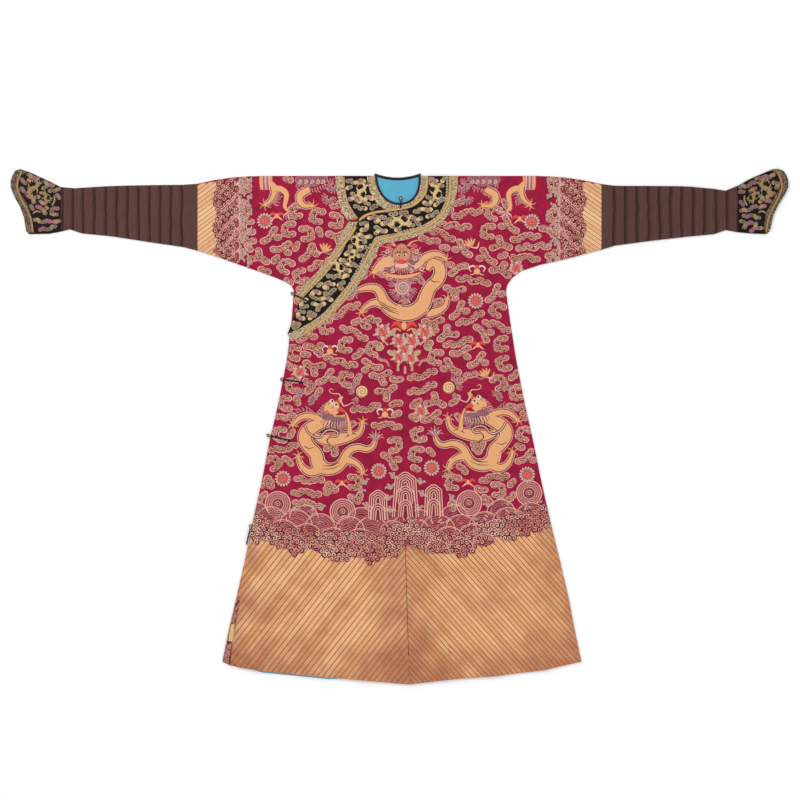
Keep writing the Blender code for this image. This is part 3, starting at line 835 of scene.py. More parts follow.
def placed(name: str, data: bpy.types.Mesh, slot: str) -> bpy.types.Object:
    """Put a finished mesh in the scene as a piece that rides on the robe.

    Args:
        name: the piece's name.
        data: its mesh, already in place.
        slot: not used.

    Returns:
        The new object.
    """
    piece = bpy.data.objects.new(name, data)
    bpy.context.scene.collection.objects.link(piece)
    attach(piece, "root")
    LOG.info("%s: %d faces", name, len(data.polygons))
    return piece


def carried(runs: Sequence[tuple[Vector, Vector] | None], least: float) -> list[tuple[Vector, Vector]]:
    """The lines that a stripe is laid over.

    Args:
        runs: the ends of each line across the stripe, or nothing where the cloth isn't met.
        least: how long the longest line has to be.

    Returns:
        Those that the cloth carries, or every second one if it carries them all.
    """
    held = [run for run in runs if run]
    held = held[::2] if len(held) == len(runs) else held
    if len(held) < 2 or max((stop - start).length for start, stop in held) <= least:
        return []
    return held


def mirrored(points: Sequence[Values], middle: float) -> list[Values]:
    """Places of the chart mirrored about a column."""
    return [(2 * middle - point[0], *point[1:]) for point in points]


def along_line(points: Sequence[Values], count: int) -> list[tuple[Vector, Vector]]:
    """Evenly spread places of a line, each with the line's heading there."""
    line = smooth_line(points, 0.5)
    spread = []
    for i in range(count):
        at = round((len(line) - 1) * i / max(1, count - 1))
        heading = line[min(at + 1, len(line) - 1)] - line[max(at - 1, 0)]
        spread.append((line[at], heading.normalized()))
    return spread


def fringe(
    work: Needlework,
    points: Sequence[Values],
    count: int,
    length: float,
    thread: Thread,
    lean: float = 90.0,
    width: float = 0.9,
    curl: float = 0.25,
    lift: float = 0.4,
) -> None:
    """A row of short strokes off a line, as hair, fins, teeth or flames are worked.

    Args:
        work: the needlework to add to.
        points: the line.
        count: how many strokes.
        length: each one's length.
        thread: its thread.
        lean: the strokes' angle from the line, in degrees towards the chart's lower side.
        width: each one's width.
        curl: how far each bends sideways, as a share of its length.
        lift: how far they lie over the cloth, in mm.
    """
    for index, (place, heading) in enumerate(along_line(points, count)):
        spin = Matrix.Rotation(math.radians(lean), 2)
        out = spin @ heading
        aside = aside_of(out)
        reach = length * (0.8 + 0.2 * ((index * 7) % 3))
        tip = place + out * reach
        bend = place + out * reach * 0.55 + aside * reach * curl
        work.stroke(
            [place, bend, tip], (width, width * 0.8, width * 0.25), thread, 0.3, step=1.6, lift=lift
        )


class CloudForm(Enum):
    """The clouds' drawings: the middles of each cloud's lobes, the higher ones last."""

    FORKED = ((-12, 0), (-4, 1), (4, -2), (11, 1), (0, 6), (-8, -1.5), (0, -0.5), (7.6, 0.5), (-3, 4.6))
    ZIGZAG = ((-12, 3), (-4.6, 0.6), (4, -1.6), (11.6, -1), (-8.4, 3.2), (-0.6, -1.4), (7.6, 0.6))
    LONG = (
        (-14, 1), (-6.4, 2.6), (1, -0.6), (8, 1.6), (14, -1.4), (-10, 1), (-2.8, 0.4), (4.4, 1), (11.2, -1)
    )
    TREFOIL = ((-8, -3.6), (0, -1), (7.6, -3.6), (1.4, 6), (-4, -1.6), (4, -2.6), (0.4, 2.8))
    BENT = ((-8, 4), (-1, 1), (6.4, 2.8), (4.4, -6), (-4.6, 3), (2.8, 0.8), (2, -3))
    CROOK = ((-7.4, -4), (0, -3), (1.4, 4), (-5.6, 6), (-3.6, -4.6), (1.6, 0.4), (-2, 5.8))
    KNOT = ((-4.4, 2.6), (3.8, 3), (0, -4.6), (-3, -1), (3, -1.2), (0, 2.4))
    PAIR = ((-7.4, -0.4), (0, 1.4), (7.2, -0.4), (-3.8, 0), (3.6, 0))
    HOOK = ((-4, 2.6), (2.4, -4), (3, 2.6), (-0.4, 3.4), (3.2, -0.8))
    LONE = ((-3.4, 0), (3.4, 0.6), (0, -0.6))
    BUD = ((-1.6, -0.3), (1.9, 0.5))

    def places(self, spot: Place, turn: float, scale: Values) -> list[Vector]:
        """The lobes' places when the cloud is stamped so, to keep it clear of others."""
        spin = Matrix.Rotation(math.radians(-turn), 2)
        return [Vector(spot) + spin @ Vector((x * scale[0], y * scale[1])) for x, y in self.value]

    def pattern(self, threads: Sequence[Thread]) -> bpy.types.Mesh:
        """The cloud as a pattern, its lobes stitched one over another in some threads."""
        work = Needlework()
        count = len(self.value)
        lobes = []
        for index, (x, y) in enumerate(self.value):
            over = index / count
            radius = 4.2 - 0.5 * over - 0.3 * (index % 2)
            thread = threads[(index + count) % len(threads)]
            size = (radius * 1.08, radius * 0.88)
            work.disc((x, y), size, thread, 0.25, sides=8, lift=0.9 * over)
            lobes.append((x, y, radius * 0.94))
        depth = work.mesh.verts.layers.float["depth"]
        for vert in work.mesh.verts:
            inside = max(radius - math.dist((vert.co.x, -vert.co.y), (x, y)) for x, y, radius in lobes)
            vert[depth] = max(vert[depth], inside * SQUARE)
        return work.pattern()


def angular(points: Sequence[Place], share: float = 0.12) -> list[Place]:
    """The same line with its corners kept: a place is added close to each end of every span."""
    line = [points[0]]
    for start, stop in zip(points, points[1:]):
        span = (stop[0] - start[0], stop[1] - start[1])
        line += [(start[0] + span[0] * part, start[1] + span[1] * part) for part in (share, 1 - share)]
        line.append(stop)
    return line


def foam(work: Needlework, place: Place, turn: float, size: float = 1.0, lift: float = 0.5) -> None:
    """A breaking crest: hooked strokes that fan out from one root towards an angle in degrees."""
    root = Vector(place)
    for k in (-1, 0, 1):
        out = ray(turn + 40 * k) * size
        aside = aside_of(out) * (1 if k > 0 else -1)
        line = [root, root + out * 3.6, root + out * 6.0 + aside * 0.8, root + out * 5.6 + aside * 2.6]
        for thread, widths, rise in (
            (Thread.OUTLINE, (2.8, 3.6, 3.6, 2.4), 0),
            (Thread.PALE_ROSE, (1.5, 2.3, 2.3, 1.1), 0.25),
        ):
            work.stroke(line, [w * size for w in widths], thread, 0.4, step=2.0, lift=lift + rise)


def peony(work: Needlework, centre: Place, radius: float) -> None:
    """An open peony: two rings of petals about a vermilion eye, over its leaves."""
    middle = Vector(centre)
    for i in range(5):
        way = ray(72 * i + math.degrees(0.3)) * radius
        leaf = [middle + way * 0.7, middle + way * 1.15, middle + way * 1.5]
        work.stroke(leaf, (radius * 0.2, radius * 0.42, 0.4), Thread.LEAF, 0.4, step=1.8)
    outer = (Thread.PETAL, Thread.LEAF, Thread.PALE_ROSE, Thread.CREAM, Thread.MANE)
    rings = ((11, 0.82, 0.24, outer), (7, 0.44, 0.21, (Thread.PINK, Thread.RED, Thread.FACE)))
    for ring, (count, share, wide, threads) in enumerate(rings):
        for i in range(count):
            turn = 360 * i / count + math.degrees(0.3 * ring)
            size = (radius * 0.3, radius * wide)
            place = middle + ray(turn) * radius * share
            work.disc(place, size, threads[i % len(threads)], 0.6, -turn, sides=7, lift=0.1 + 0.2 * ring)
    work.disc(centre, (radius * 0.22,) * 2, Thread.RED, 0.8, sides=8, lift=0.5)


def little_dragon(thread: Thread) -> bpy.types.Mesh:
    """A small dragon for the collar and the cuffs, as a pattern."""
    work = Needlework()
    body = [(-11, 1), (-7.5, -3.4), (-2, -2), (2.4, 3.4), (8, 3), (11, -2), (8.4, -6)]
    for lean in (-62, 62):
        fringe(work, body, 11, 4.2, Thread.PALE, lean, 1.1, 0.4, 0.2)
    work.stroke(body, (3.4, 4.8, 5.8, 5.6, 4.4, 3.0, 1.0), thread, 0.6, step=2.2, ribs=4, lift=0.4)
    for leg in (
        ((-6.6, -2.6), (-9, -6), (-13, -6.4)), ((-2, -2), (-0.4, -6.4), (3.4, -8)),
        ((1.6, 2.6), (-1, 6.6), (-4.6, 7.6)), ((7.4, 3.4), (9, 7.2), (12.6, 8)),
    ):
        work.stroke(leg, (3.4, 2.6, 1.6), thread, 0.6, step=2.0, lift=0.5)
        foot = Vector(leg[2])
        toe = (foot - Vector(leg[1])).normalized() * 2.4
        for turn in (-0.8, 0, 0.8):
            claw = foot + Matrix.Rotation(turn, 2) @ toe
            work.stroke([foot, claw], (0.9, 0.5), thread, 0.5, step=2.0, lift=0.5)
    work.disc((-12.4, 2.4), (3.6, 3.0), thread, 0.8, sides=9, lift=0.6)
    fringe(work, [(-14, 0), (-11, -1.6), (-9, 2), (-10.4, 5.4)], 7, 2.8, Thread.PALE, 70, 0.9, 0.4, 0.4)
    work.disc((-13.4, 2), (0.7, 0.7), Thread.RED, 0.6, sides=5, lift=1.2)
    return work.pattern()


def medallion() -> bpy.types.Mesh:
    """A round blossom of faded petals about a vermilion middle, as a pattern."""
    work = Needlework()
    work.disc((0, 0), (7.4, 7.4), Thread.OUTLINE, 0.3, sides=18)
    for i in range(15):
        turn = 24 * i
        work.disc(ray(turn) * 6.6, (1.45, 1.12), Thread.PETAL, 0.5, -turn, sides=7, lift=0.2)
        work.disc(ray(turn + 12.03) * 5.1, (0.7, 0.5), Thread.CREAM, 0.5, -turn, sides=5, lift=0.3)
    work.disc((0, 0), (4.4, 4.4), Thread.PINK, 0.7, sides=14, lift=0.2)
    work.disc((0, 0), (3.5, 3.5), Thread.RED, 0.8, sides=12, lift=0.4)
    for i in range(5):
        work.disc(ray(72 * i) * 2, (0.55, 0.45), Thread.CREAM, 0.6, sides=5, lift=0.9)
    return work.pattern()


def bat() -> bpy.types.Mesh:
    """A little bat, the sign of good luck, as a pattern."""
    work = Needlework()
    for side in (-1, 1):
        wing = spread((0, 0), side, (1, 0), (4, -2.6), (7.5, 0.6))
        work.stroke(wing, (2.6, 3.2, 0.8), Thread.RED, 0.5, step=1.6)
        tip = spread((0, 0), side, (1.5, 1), (4, 3.2), (6, 4.6))
        work.stroke(tip, (1.6, 1.4, 0.5), Thread.CREAM, 0.4, step=1.6, lift=0.1)
    work.disc((0, 0), (1.9, 2.8), Thread.GOLD, 0.7, sides=8)
    return work.pattern()


def blossom() -> bpy.types.Mesh:
    """An open peony with its leaves, as a pattern."""
    work = Needlework()
    peony(work, (0, 0), 6.2)
    return work.pattern()


def ribboned_gourd() -> bpy.types.Mesh:
    """A gourd tied with ribbons, one of the eight lucky signs, as a pattern."""
    work = Needlework()
    for side in (-1, 1):
        ribbon = spread((0, 0), side, (0, 0), (4, -3), (8, -1), (6, 3))
        work.stroke(ribbon, (1.4, 1.8, 1.4, 0.6), Thread.WHITE, 0.4, step=1.6)
        leaf = spread((0, 0), side, (0, 1), (3, 5), (7, 6))
        work.stroke(leaf, (1.2, 1.5, 0.5), Thread.LEAF, 0.4, step=1.6)
    work.disc((0, 2.6), (3.4, 3.2), Thread.GOLD, 0.8, sides=10, lift=0.2)
    work.disc((0, -2), (2.2, 2.1), Thread.RED, 0.8, sides=10, lift=0.2)
    return work.pattern()


def fan_and_ribbons() -> bpy.types.Mesh:
    """A palm fan with fluttering ribbons, as a pattern."""
    work = Needlework()
    for i in range(5):
        turn = math.radians(24 * i - 160)
        blade = [(0, 5), (9 * math.cos(turn), 5 + 9 * math.sin(turn))]
        work.stroke(blade, (0.9, 2.6, 1.4), Thread.GOLD, 0.5, step=2)
    work.stroke([(0, 5), (6, 6), (8, 0)], (1.0, 1.8, 0.7), Thread.CREAM, 0.4, step=1.8, lift=0.2)
    work.stroke([(0, 5), (-6, 7), (-10, 4)], (0.9, 1.6, 0.6), Thread.MANE, 0.4, step=1.8, lift=0.2)
    return work.pattern()


def flames(work: Needlework, centre: Place, reach: float, turns: Iterable[float]) -> None:
    """Forked flames about a pearl or a dragon, one at each angle in degrees."""
    for turn in turns:
        out = ray(turn)
        aside = aside_of(out)
        root = Vector(centre) + out * reach
        for fork in (-1, 0, 1):
            tip = root + out * (6.5 - abs(fork)) + aside * fork * 2.6
            bend = root + out * 3 + aside * (fork * 2.2 - 0.9)
            line = [root + aside * fork * 0.8, bend, tip]
            work.stroke(line, (1.3, 1.5, 0.4), Thread.MANE, 0.3, step=1.6)


def pearl(work: Needlework, centre: Place, turns: Iterable[float], radius: float = 6.3) -> None:
    """A flaming pearl: a coiled disc with flames round it."""
    flames(work, centre, radius + 1.5, turns)
    work.disc(centre, (radius, radius), Thread.PEARL, 0.9, sides=18)


def outlined(work: Needlework, line: Sequence[Values], widths: Values, height: float, lift: float) -> None:
    """A band of gold scales with a maroon line and a cream line round it.

    Args:
        work: the needlework to add to.
        line: its middle line.
        widths: its widths along the line.
        height: how far its middle rises, in mm.
        lift: how far it lies over the cloth, in mm.
    """
    for extra, thread, rise in ((2.8, Thread.CREAM, 0.35), (1.5, Thread.OUTLINE, 0.45)):
        work.stroke(line, [width + extra for width in widths], thread, rise, step=2.6, lift=lift - 0.2)
    work.stroke(line, widths, Thread.GOLD, height, step=2.0, ribs=6, lift=lift)


@dataclass(frozen=True)
class Limb:
    """A dragon's leg: its line, its widths and the way that its claw points, in degrees."""

    line: tuple[Place, ...]
    widths: tuple[float, ...]
    claw: float
    hair: int = 0

    def work(self, work: Needlework) -> None:
        """Stitch the leg and its five-toed claw."""
        if self.hair:
            fringe(work, self.line[: self.hair], 7, 5.5, Thread.MANE, lean=100, width=1.6, lift=0.1)
        outlined(work, self.line, self.widths, 0.9, 0.3)
        foot = Vector(self.line[-1])
        work.disc(foot, (2.1, 2.1), Thread.GOLD, 0.8, sides=8, lift=0.4)
        for toe in (-115, -57, 0, 57, 115):
            out = ray(self.claw + toe)
            aside = aside_of(out) * (1.0 if toe <= 0 else -1.0)
            line = [foot + out, foot + out * 4 + aside, foot + out * 6.4]
            work.stroke(line, (1.6, 1.2, 0.6), Thread.GOLD, 0.6, step=1.6, lift=0.45)


@dataclass(frozen=True)
class Dragon:
    """A coiling dragon worked in couched gold, with its fins, legs and tail."""

    body: tuple[Place, ...]
    widths: tuple[float, ...]
    limbs: tuple[Limb, ...]
    tail_lean: float
    spine_side: int = 1
    folds: tuple[tuple[Place, ...], ...] = ()

    def work(self, work: Needlework) -> None:
        """Stitch the fins, the limbs, the body and its folds, and the tail."""
        self._fins(work)
        self._tail(work)
        for limb in self.limbs:
            limb.work(work)
        outlined(work, self.body, self.widths, 1.1, 0.5)
        for fold in self.folds:
            work.stroke(fold, (0.5, 1.2, 0.5), Thread.OUTLINE, 0.5, step=1.8, lift=1.3)

    def _fins(self, work: Needlework) -> None:
        """Small fins along the back."""
        line = smooth_line(self.body, 2.9)
        for i in range(1, len(line) - 1):
            heading = (line[i + 1] - line[i - 1]).normalized()
            aside = aside_of(heading) * self.spine_side
            edge = blended(self.widths, i / (len(line) - 1)) / 2
            turn = -math.degrees(math.atan2(aside.y, aside.x))
            work.disc(line[i] + aside * (edge + 1.4), (1.9, 1.35), Thread.CURL, 0.4, turn=turn, sides=7)

    def _tail(self, work: Needlework) -> None:
        """A fan of hair at the tail's end."""
        end, before = Vector(self.body[-1]), Vector(self.body[-2])
        heading = (end - before).normalized()
        for i in range(7):
            spin = Matrix.Rotation(math.radians(self.tail_lean + (i - 3) * 24), 2)
            out = spin @ heading
            aside = aside_of(out) * (i - 3) * 0.6
            line = [end - heading, end + out * 5 - aside, end + out * (10.5 - 0.6 * abs(i - 3))]
            thread, width = ((Thread.MANE, 2.2), (Thread.CREAM, 1.2))[i % 2]
            work.stroke(line, (width, width, 0.5), thread, 0.5, step=1.8, lift=0.2)


CHEST_DRAGON = Dragon(
    body=(
        (427, 270), (431.7, 262.9), (438, 265.3), (440.4, 272), (437.3, 280.4), (430.1, 287.5),
        (426.1, 296), (422.5, 305.2), (414.1, 311.8), (403.8, 313.6), (392.6, 310.4),
        (384.6, 303.2), (381.5, 295.6), (377.5, 289.4), (369.5, 287.6), (358.3, 290),
    ),
    widths=(4, 8, 10.5, 11, 11, 11.5, 13, 13.5, 13.5, 13.5, 12.5, 11, 8.5, 7, 5.5, 2.5),
    limbs=(
        Limb(
            ((414, 268), (420, 264), (424.4, 258.4), (431.6, 254.8), (439.4, 254.8), (445.6, 259)),
            (5, 6, 6.5, 6, 4.6, 3), 40,
        ),
        Limb(((394, 262), (386, 262), (380, 266.4), (374, 272.4)), (9, 10, 8.4, 5), 140),
        Limb(((426.9, 313.5), (436.5, 311.5), (444.4, 306.7), (447.2, 299)), (8, 7, 5, 3), -90, 3),
        Limb(((383, 304.4), (374.3, 302.8), (366.3, 306.7), (361.8, 311.7)), (7, 6, 4, 2.6), 110, 2),
    ),
    tail_lean=0,
    spine_side=1,
    folds=(
        ((377, 300), (387, 306), (397, 309.5)), ((379, 303.5), (389, 309), (398, 312)),
        ((381, 306.5), (391, 311.6), (400, 314.4)), ((429.6, 279.5), (434, 282), (439.6, 281.5)),
        ((427, 313), (431.4, 308), (432.6, 303)),
    ),
)
SKIRT_DRAGON = Dragon(
    body=(
        (331, 421.5), (318.5, 424.5), (308.5, 430.2), (304.8, 438.1), (309.2, 446.9),
        (316, 454.2), (318.2, 463), (326, 468.8), (336.3, 467.8), (342.9, 461.5), (346.4, 454.2),
        (351.5, 449.2), (358.8, 447.4), (366.4, 449.1), (372.3, 446.9), (375.6, 440.3),
    ),
    widths=(6, 9, 12, 13, 12, 11.5, 12, 12.5, 11, 9, 8, 7, 6, 5, 4, 2),
    limbs=(
        Limb(
            ((326, 424), (318, 418.6), (309, 416), (300.4, 417.6), (293, 424.4)),
            (5.4, 5.6, 5.4, 4.6, 2.8), 130,
        ),
        Limb(
            ((322, 468), (311, 472), (303.3, 468), (299.9, 462), (298.2, 456.4)),
            (9, 7.6, 6, 4.2, 2.6), -100,
        ),
        Limb(((347.3, 460), (354.7, 462.3), (360.5, 467.4), (362.4, 472.3)), (7, 5, 4, 2.5), 80, 2),
        Limb(
            (
                (315, 436), (322, 438.8), (331.5, 439.5), (342.2, 438.1), (351, 436.3), (358.3, 433.2),
                (361.6, 428), (362.4, 422.3),
            ),
            (5, 9, 11, 11, 9, 6, 3.8, 2.6), -88,
        ),
    ),
    tail_lean=-25,
    spine_side=-1,
    folds=(
        ((322, 469), (332, 468.6), (341, 464.6)), ((323, 465.8), (332, 465.4), (340, 461.6)),
        ((304, 446), (309, 448.4), (314, 447)), ((346, 437), (352, 433.6), (357, 434.4)),
        ((330, 436), (327, 441), (331, 445)),
    ),
)


def front_head(work: Needlework, x: float, y: float) -> None:
    """A dragon's face seen from the front: mane, brows, eyes, nose and jaw.

    Args:
        work: the needlework to add to.
        x: the column of its middle.
        y: the row of its eyes.
    """

    def at(side: int, *places: Place) -> list[Place]:
        return spread((x, y), side, *places)

    for side in (-1, 1):
        work.disc(*at(side, (10, 6)), (8.5, 11), Thread.MANE, 0.5, side * 20, sides=12)
        edge = at(side, (8, -9), (15, -2), (18, 8), (17, 17))
        fringe(work, edge, 10, 6.0, Thread.MANE, -side * 75, 1.3, 0.2, 0.2)
        fringe(work, edge, 7, 5.0, Thread.CREAM, -side * 60, 0.7, 0.3, 0.4)
        work.disc(*at(side, (12.4, -9.6)), (2.7, 2.3), Thread.RED, 0.6, sides=8, lift=0.3)
        horn = at(side, (6, -9), (10, -13), (17, -15))
        work.stroke(horn, (1.4, 1.2, 0.5), Thread.CREAM, 0.5, step=1.6, lift=0.3)
        brow = at(side, (8.5, -5.5), (10.5, -1.5), (9.5, 3))
        fringe(work, brow, 6, 3.6, Thread.CREAM, -side * 90, 0.9, 0.1, 0.8)
        whisker = at(side, (5, 7), (11, 11), (17, 11), (21, 5))
        work.stroke(whisker, (1.0, 1.0, 0.8, 0.4), Thread.CREAM, 0.4, step=1.8, lift=1.0)
        for place in at(side, (20, 13.5), (13.5, 3), (15, 9.5), (9.5, 15.5), (14.6, -4)):
            work.coil(place, 2.5, 1.4, 1.0, Thread.CREAM, lift=0.9)
    jaw = at(1, (-20, 19), (-10, 20.8), (0, 22), (10, 20.5), (19, 17.5))
    work.stroke(jaw, (1.5, 3.4, 4.2, 3.4, 1.5), Thread.GOLD, 0.8, step=2.4, lift=0.4)
    beard = at(1, (-9, 12), (0, 14.5), (9, 12))
    fringe(work, beard, 12, 4.6, Thread.MANE, 90, 1.2, 0.0, 0.5)
    work.disc((x, y - 1), (9.4, 8.4), Thread.FACE, 0.8, sides=16, lift=0.5)
    work.disc((x, y - 7), (5.6, 4.4), Thread.FACE, 1.0, sides=14, lift=0.8)
    crown = at(1, (-4.5, -12.4), (0, -13.6), (4.5, -12.4))
    work.stroke(crown, (0.5, 1.2, 0.5), Thread.BLACK, 0.4, step=1.5, lift=0.9)
    work.disc((x, y + 11), (7, 3.8), Thread.CREAM, 0.8, sides=12, lift=0.7)
    lip = at(1, (-6, 12.5), (0, 14), (6, 12.5))
    work.stroke(lip, (0.6, 1.2, 0.6), Thread.RED, 0.5, step=1.5, lift=1.2)
    work.disc((x, y + 6.8), (4.2, 2.5), Thread.RED, 1.0, sides=12, lift=1.0)
    for side in (-1, 1):
        work.disc(*at(side, (3.2, 0)), (1.9, 1.3), Thread.WHITE, 0.8, sides=10, lift=1.0)
        work.disc(*at(side, (2.8, 0.2)), (1.05, 1.0), Thread.BLACK, 0.8, sides=8, lift=1.5)
        lid = at(side, (0.8, -1.6), (3, -3.2), (6.4, -1.6))
        work.stroke(lid, (0.7, 1.0, 0.4), Thread.BLACK, 0.5, step=1.4, lift=1.4)
        frown = at(side, (1.2, -4), (1.6, -8))
        work.stroke(frown, (0.6, 0.5), Thread.BLACK, 0.4, step=1.5, lift=1.5)
        work.disc(*at(side, (3.4, 7)), (1.3, 1.2), Thread.RED, 0.8, sides=8, lift=1.3)


def side_head(work: Needlework) -> None:
    """The head of the dragon on the skirt, looking up over its shoulder."""
    mane = [(331, 400), (324, 404), (318, 411), (314, 419)]
    hairs = [(323, 419), (333, 422), (346, 421)]
    teeth = [(328, 417.5), (337, 418), (345.5, 417)]
    beard = [(326, 421), (336, 422), (345, 421)]
    for line, count, length, thread, lean, width, curl, lift in (
        (mane, 11, 9.0, Thread.MANE, -75, 1.5, -0.2, 0.2),
        (mane, 6, 8.0, Thread.CREAM, -85, 0.7, -0.3, 0.5),
        ([(312, 414), (304, 411), (298, 413)], 6, 5.0, Thread.MANE, 60, 1.4, 0.25, 0.2),
        (hairs, 12, 7.0, Thread.MANE, 85, 1.3, 0.15, 1.3),
        (hairs, 9, 8.0, Thread.OUTLINE, 80, 0.8, 0.2, 1.5),
        (hairs, 10, 6.4, Thread.CREAM, 88, 0.8, 0.25, 1.6),
        (teeth, 10, 3.2, Thread.CREAM, 90, 0.9, 0.0, 0.8),
        (beard, 12, 6.0, Thread.MANE, 90, 1.1, 0.1, 0.5),
    ):
        fringe(work, line, count, length, thread, lean, width, curl, lift)
    flames(work, (316, 402), 2, (185, 215, 245, 270))
    flames(work, (304, 396), 2, (200, 240, 280, 320))
    for place, size, thread, height, turn, sides, lift in (
        ((325, 417), (10, 6), Thread.MANE, 0.6, 20, 12, 0.2),
        ((341, 424), (7, 7), Thread.MANE, 0.6, 0, 12, 0.2),
        ((338, 421), (9, 5), Thread.MANE, 0.6, 0, 14, 1.2),
        ((328, 417), (7, 4), Thread.MANE, 0.6, 0, 14, 1.2),
        ((332, 408.5), (8.4, 7.6), Thread.GOLD, 1.0, 25, 14, 0.5),
        ((338.2, 401.2), (1.7, 2.2), Thread.RED, 0.8, 0, 8, 1.2),
        ((331.8, 401.4), (2.4, 2.4), Thread.WHITE, 0.8, 0, 10, 1.0),
        ((335.6, 405.4), (2.4, 2.4), Thread.WHITE, 0.8, 0, 10, 1.0),
        ((332.4, 400.9), (1.1, 1.1), Thread.BLACK, 0.8, 0, 8, 1.5),
        ((336.2, 404.9), (1.1, 1.1), Thread.BLACK, 0.8, 0, 8, 1.5),
    ):
        work.disc(place, size, thread, height, turn, sides, lift)
    jaw = ((345.5, 412), (348, 418), (349.6, 426), (350, 435))
    whisker = ((344, 406), (348, 405), (352.4, 402.6), (354.6, 404.8))
    horn = ((341, 398), (339, 394), (333, 393.6), (329.4, 391.4), (331, 388.6), (333.6, 390))
    for line, widths, thread, height, step, lift in (
        (jaw, (1.6, 2.6, 3.8, 5.4), Thread.GOLD, 0.8, 1.8, 1.6),
        (((331, 415.5), (338, 416.5), (345.5, 415.5)), (2.6, 2.4, 2.2), Thread.GOLD, 0.8, 1.8, 0.7),
        (((337, 410), (341, 409.5), (345, 412)), (3.6, 4.4, 2.4), Thread.RED, 0.7, 1.6, 0.7),
        (((336, 404), (339.5, 400), (342, 396.5)), (4.4, 4.0, 3.0), Thread.GOLD, 0.9, 1.6, 0.8),
        (horn, (1.2, 1.1, 0.9, 0.8, 0.8, 0.5), Thread.CREAM, 0.5, 1.4, 0.8),
        (whisker, (1.2, 1.0, 0.8, 0.5), Thread.CREAM, 0.5, 1.4, 0.8),
        (((343, 396.5), (341, 401), (344, 406.5)), (1.0, 1.6, 1.0), Thread.CREAM, 0.5, 1.4, 1.0),
        (((328.5, 404.5), (330.7, 401.9)), (0.7, 0.5), Thread.BLACK, 0.5, 1.4, 1.3),
        (((332, 408.5), (334.2, 405.9)), (0.7, 0.5), Thread.BLACK, 0.5, 1.4, 1.3),
    ):
        work.stroke(line, widths, thread, height, step, lift=lift)
    work.coil((326.5, 412.5), 2.8, 1.5, 1.1, Thread.RED, lift=1.2)
    loops = [
        (305, 426), (308.6, 432.6), (315, 437), (320.4, 437), (324, 432.6), (328, 430), (334.4, 430.4),
        (338.4, 433.4), (335.4, 436.4), (330, 436),
    ]
    for thread, width, lift in ((Thread.OUTLINE, 2.6, 1.5), (Thread.CREAM, 1.1, 1.7)):
        work.stroke(loops, (width,) * 3, thread, 0.5, step=1.8, lift=lift)


def shoulder_dragon(work: Needlework, middle: float) -> None:
    """What hangs over a shoulder of the dragon worked there: its hind legs, tail and flames.

    Args:
        work: the needlework to add to.
        middle: the column to mirror the drawing about, or 0 to leave it as it is.
    """
    side = -1 if middle else 1

    def turned(*points: Place) -> list[Values]:
        return mirrored(points, middle) if middle else list(points)

    def way(degrees: float) -> float:
        return degrees if side > 0 else 180 - degrees

    for index, x in enumerate((262, 263.8, 265.6, 267.4, 269.2)):
        thread = (Thread.CREAM, Thread.MANE)[index % 2]
        line = turned((x, 174.6), (x, 183), (x + 0.6, 190))
        work.stroke(line, (1.6, 1.6, 1.1), thread, 0.5, step=2)
    for x in (260.6, 271.4):
        line = turned((x, 174.6), (x, 184), (x + 0.8, 190))
        work.stroke(line, (2.2, 2.2, 1.8), Thread.GOLD, 0.7, step=2, lift=0.1)
    tail = turned(
        (271, 183), (275.5, 188), (281.5, 189.4), (286.4, 194), (285.8, 201.5), (285, 207), (289, 212.4)
    )
    work.stroke(tail, (5, 6, 6, 5.4, 4.6, 3.8, 2.0), Thread.GOLD, 0.9, step=2, ribs=4, lift=0.3)
    leg = turned((273.4, 187), (274, 193.6), (271, 200.3), (265.5, 204.6))
    Limb(tuple(leg), (5, 5, 4, 2.4), way(140)).work(work)
    hair = turned((276, 192), (277, 198), (274, 203))
    fringe(work, hair, 7, 5.0, Thread.MANE, lean=-side * 80, width=1.3)
    end = Vector(turned((289, 212))[0])
    for i in range(8):
        out = ray(way(24 * i - 38))
        line = [end, end + out * 5 + aside_of(out) * side * 1.4, end + out * 8.8]
        thread = (Thread.MANE, Thread.CREAM)[i % 2]
        work.stroke(line, (1.2, 1.4, 0.4), thread, 0.5, step=1.8, lift=0.2)
    arm = turned((309.5, 189.6), (303.6, 192.6), (299.8, 196), (300.6, 202.4), (305, 206), (312, 206))
    Limb(tuple(arm), (6, 6.5, 7, 6, 4.4, 2.6), way(-20), 3).work(work)
    for x, y, r in ((303, 180, 8), (313, 181, 8), (321, 179, 7)):
        work.disc(*turned((x, y)), (r, r * 0.7), Thread.MANE, 0.5, sides=12)
    mane = turned((298, 184), (306, 189), (316, 188), (325, 184))
    fringe(work, mane, 12, 5.0, Thread.MANE, lean=side * 80, width=1.3)
    for place in turned(*((x, 181.5) for x in (300, 306, 312, 318, 323))):
        work.coil(place, 2.2, 1.4, 1.0, Thread.CREAM, lift=0.5)
    flames(work, *turned((333, 186)), 1.5, [way(turn) for turn in (20, 80, 130, 170, 250)])
    flames(work, *turned((329, 198)), 1.5, (30, 90, 140, 200))


@dataclass(frozen=True)
class Crease:
    """A soft ridge that the cloth keeps from being folded away."""

    start: Place
    stop: Place
    half_width: float  # mm
    rise: float  # mm

    def lift(self, x: float, y: float) -> float:
        """How far the ridge lifts the cloth at a place of the frame, both in mm."""
        ends = [
            Vector(((c - CHART_MIDDLE) * SQUARE, (CHART_TOP - r) * SQUARE))
            for c, r in (self.start, self.stop)
        ]
        run = ends[1] - ends[0]
        share = (Vector((x, y)) - ends[0]).dot(run) / run.length_squared
        if not -0.15 < share < 1.15:
            return 0.0
        aside = abs((Vector((x, y)) - ends[0]).cross(run)) / run.length
        if aside > 2.5 * self.half_width:
            return 0.0
        fade = math.sin(math.pi * (min(max(share, -0.15), 1.15) + 0.15) / 1.3)
        return self.rise * fade * math.exp(-((aside / self.half_width) ** 2) * 1.6)


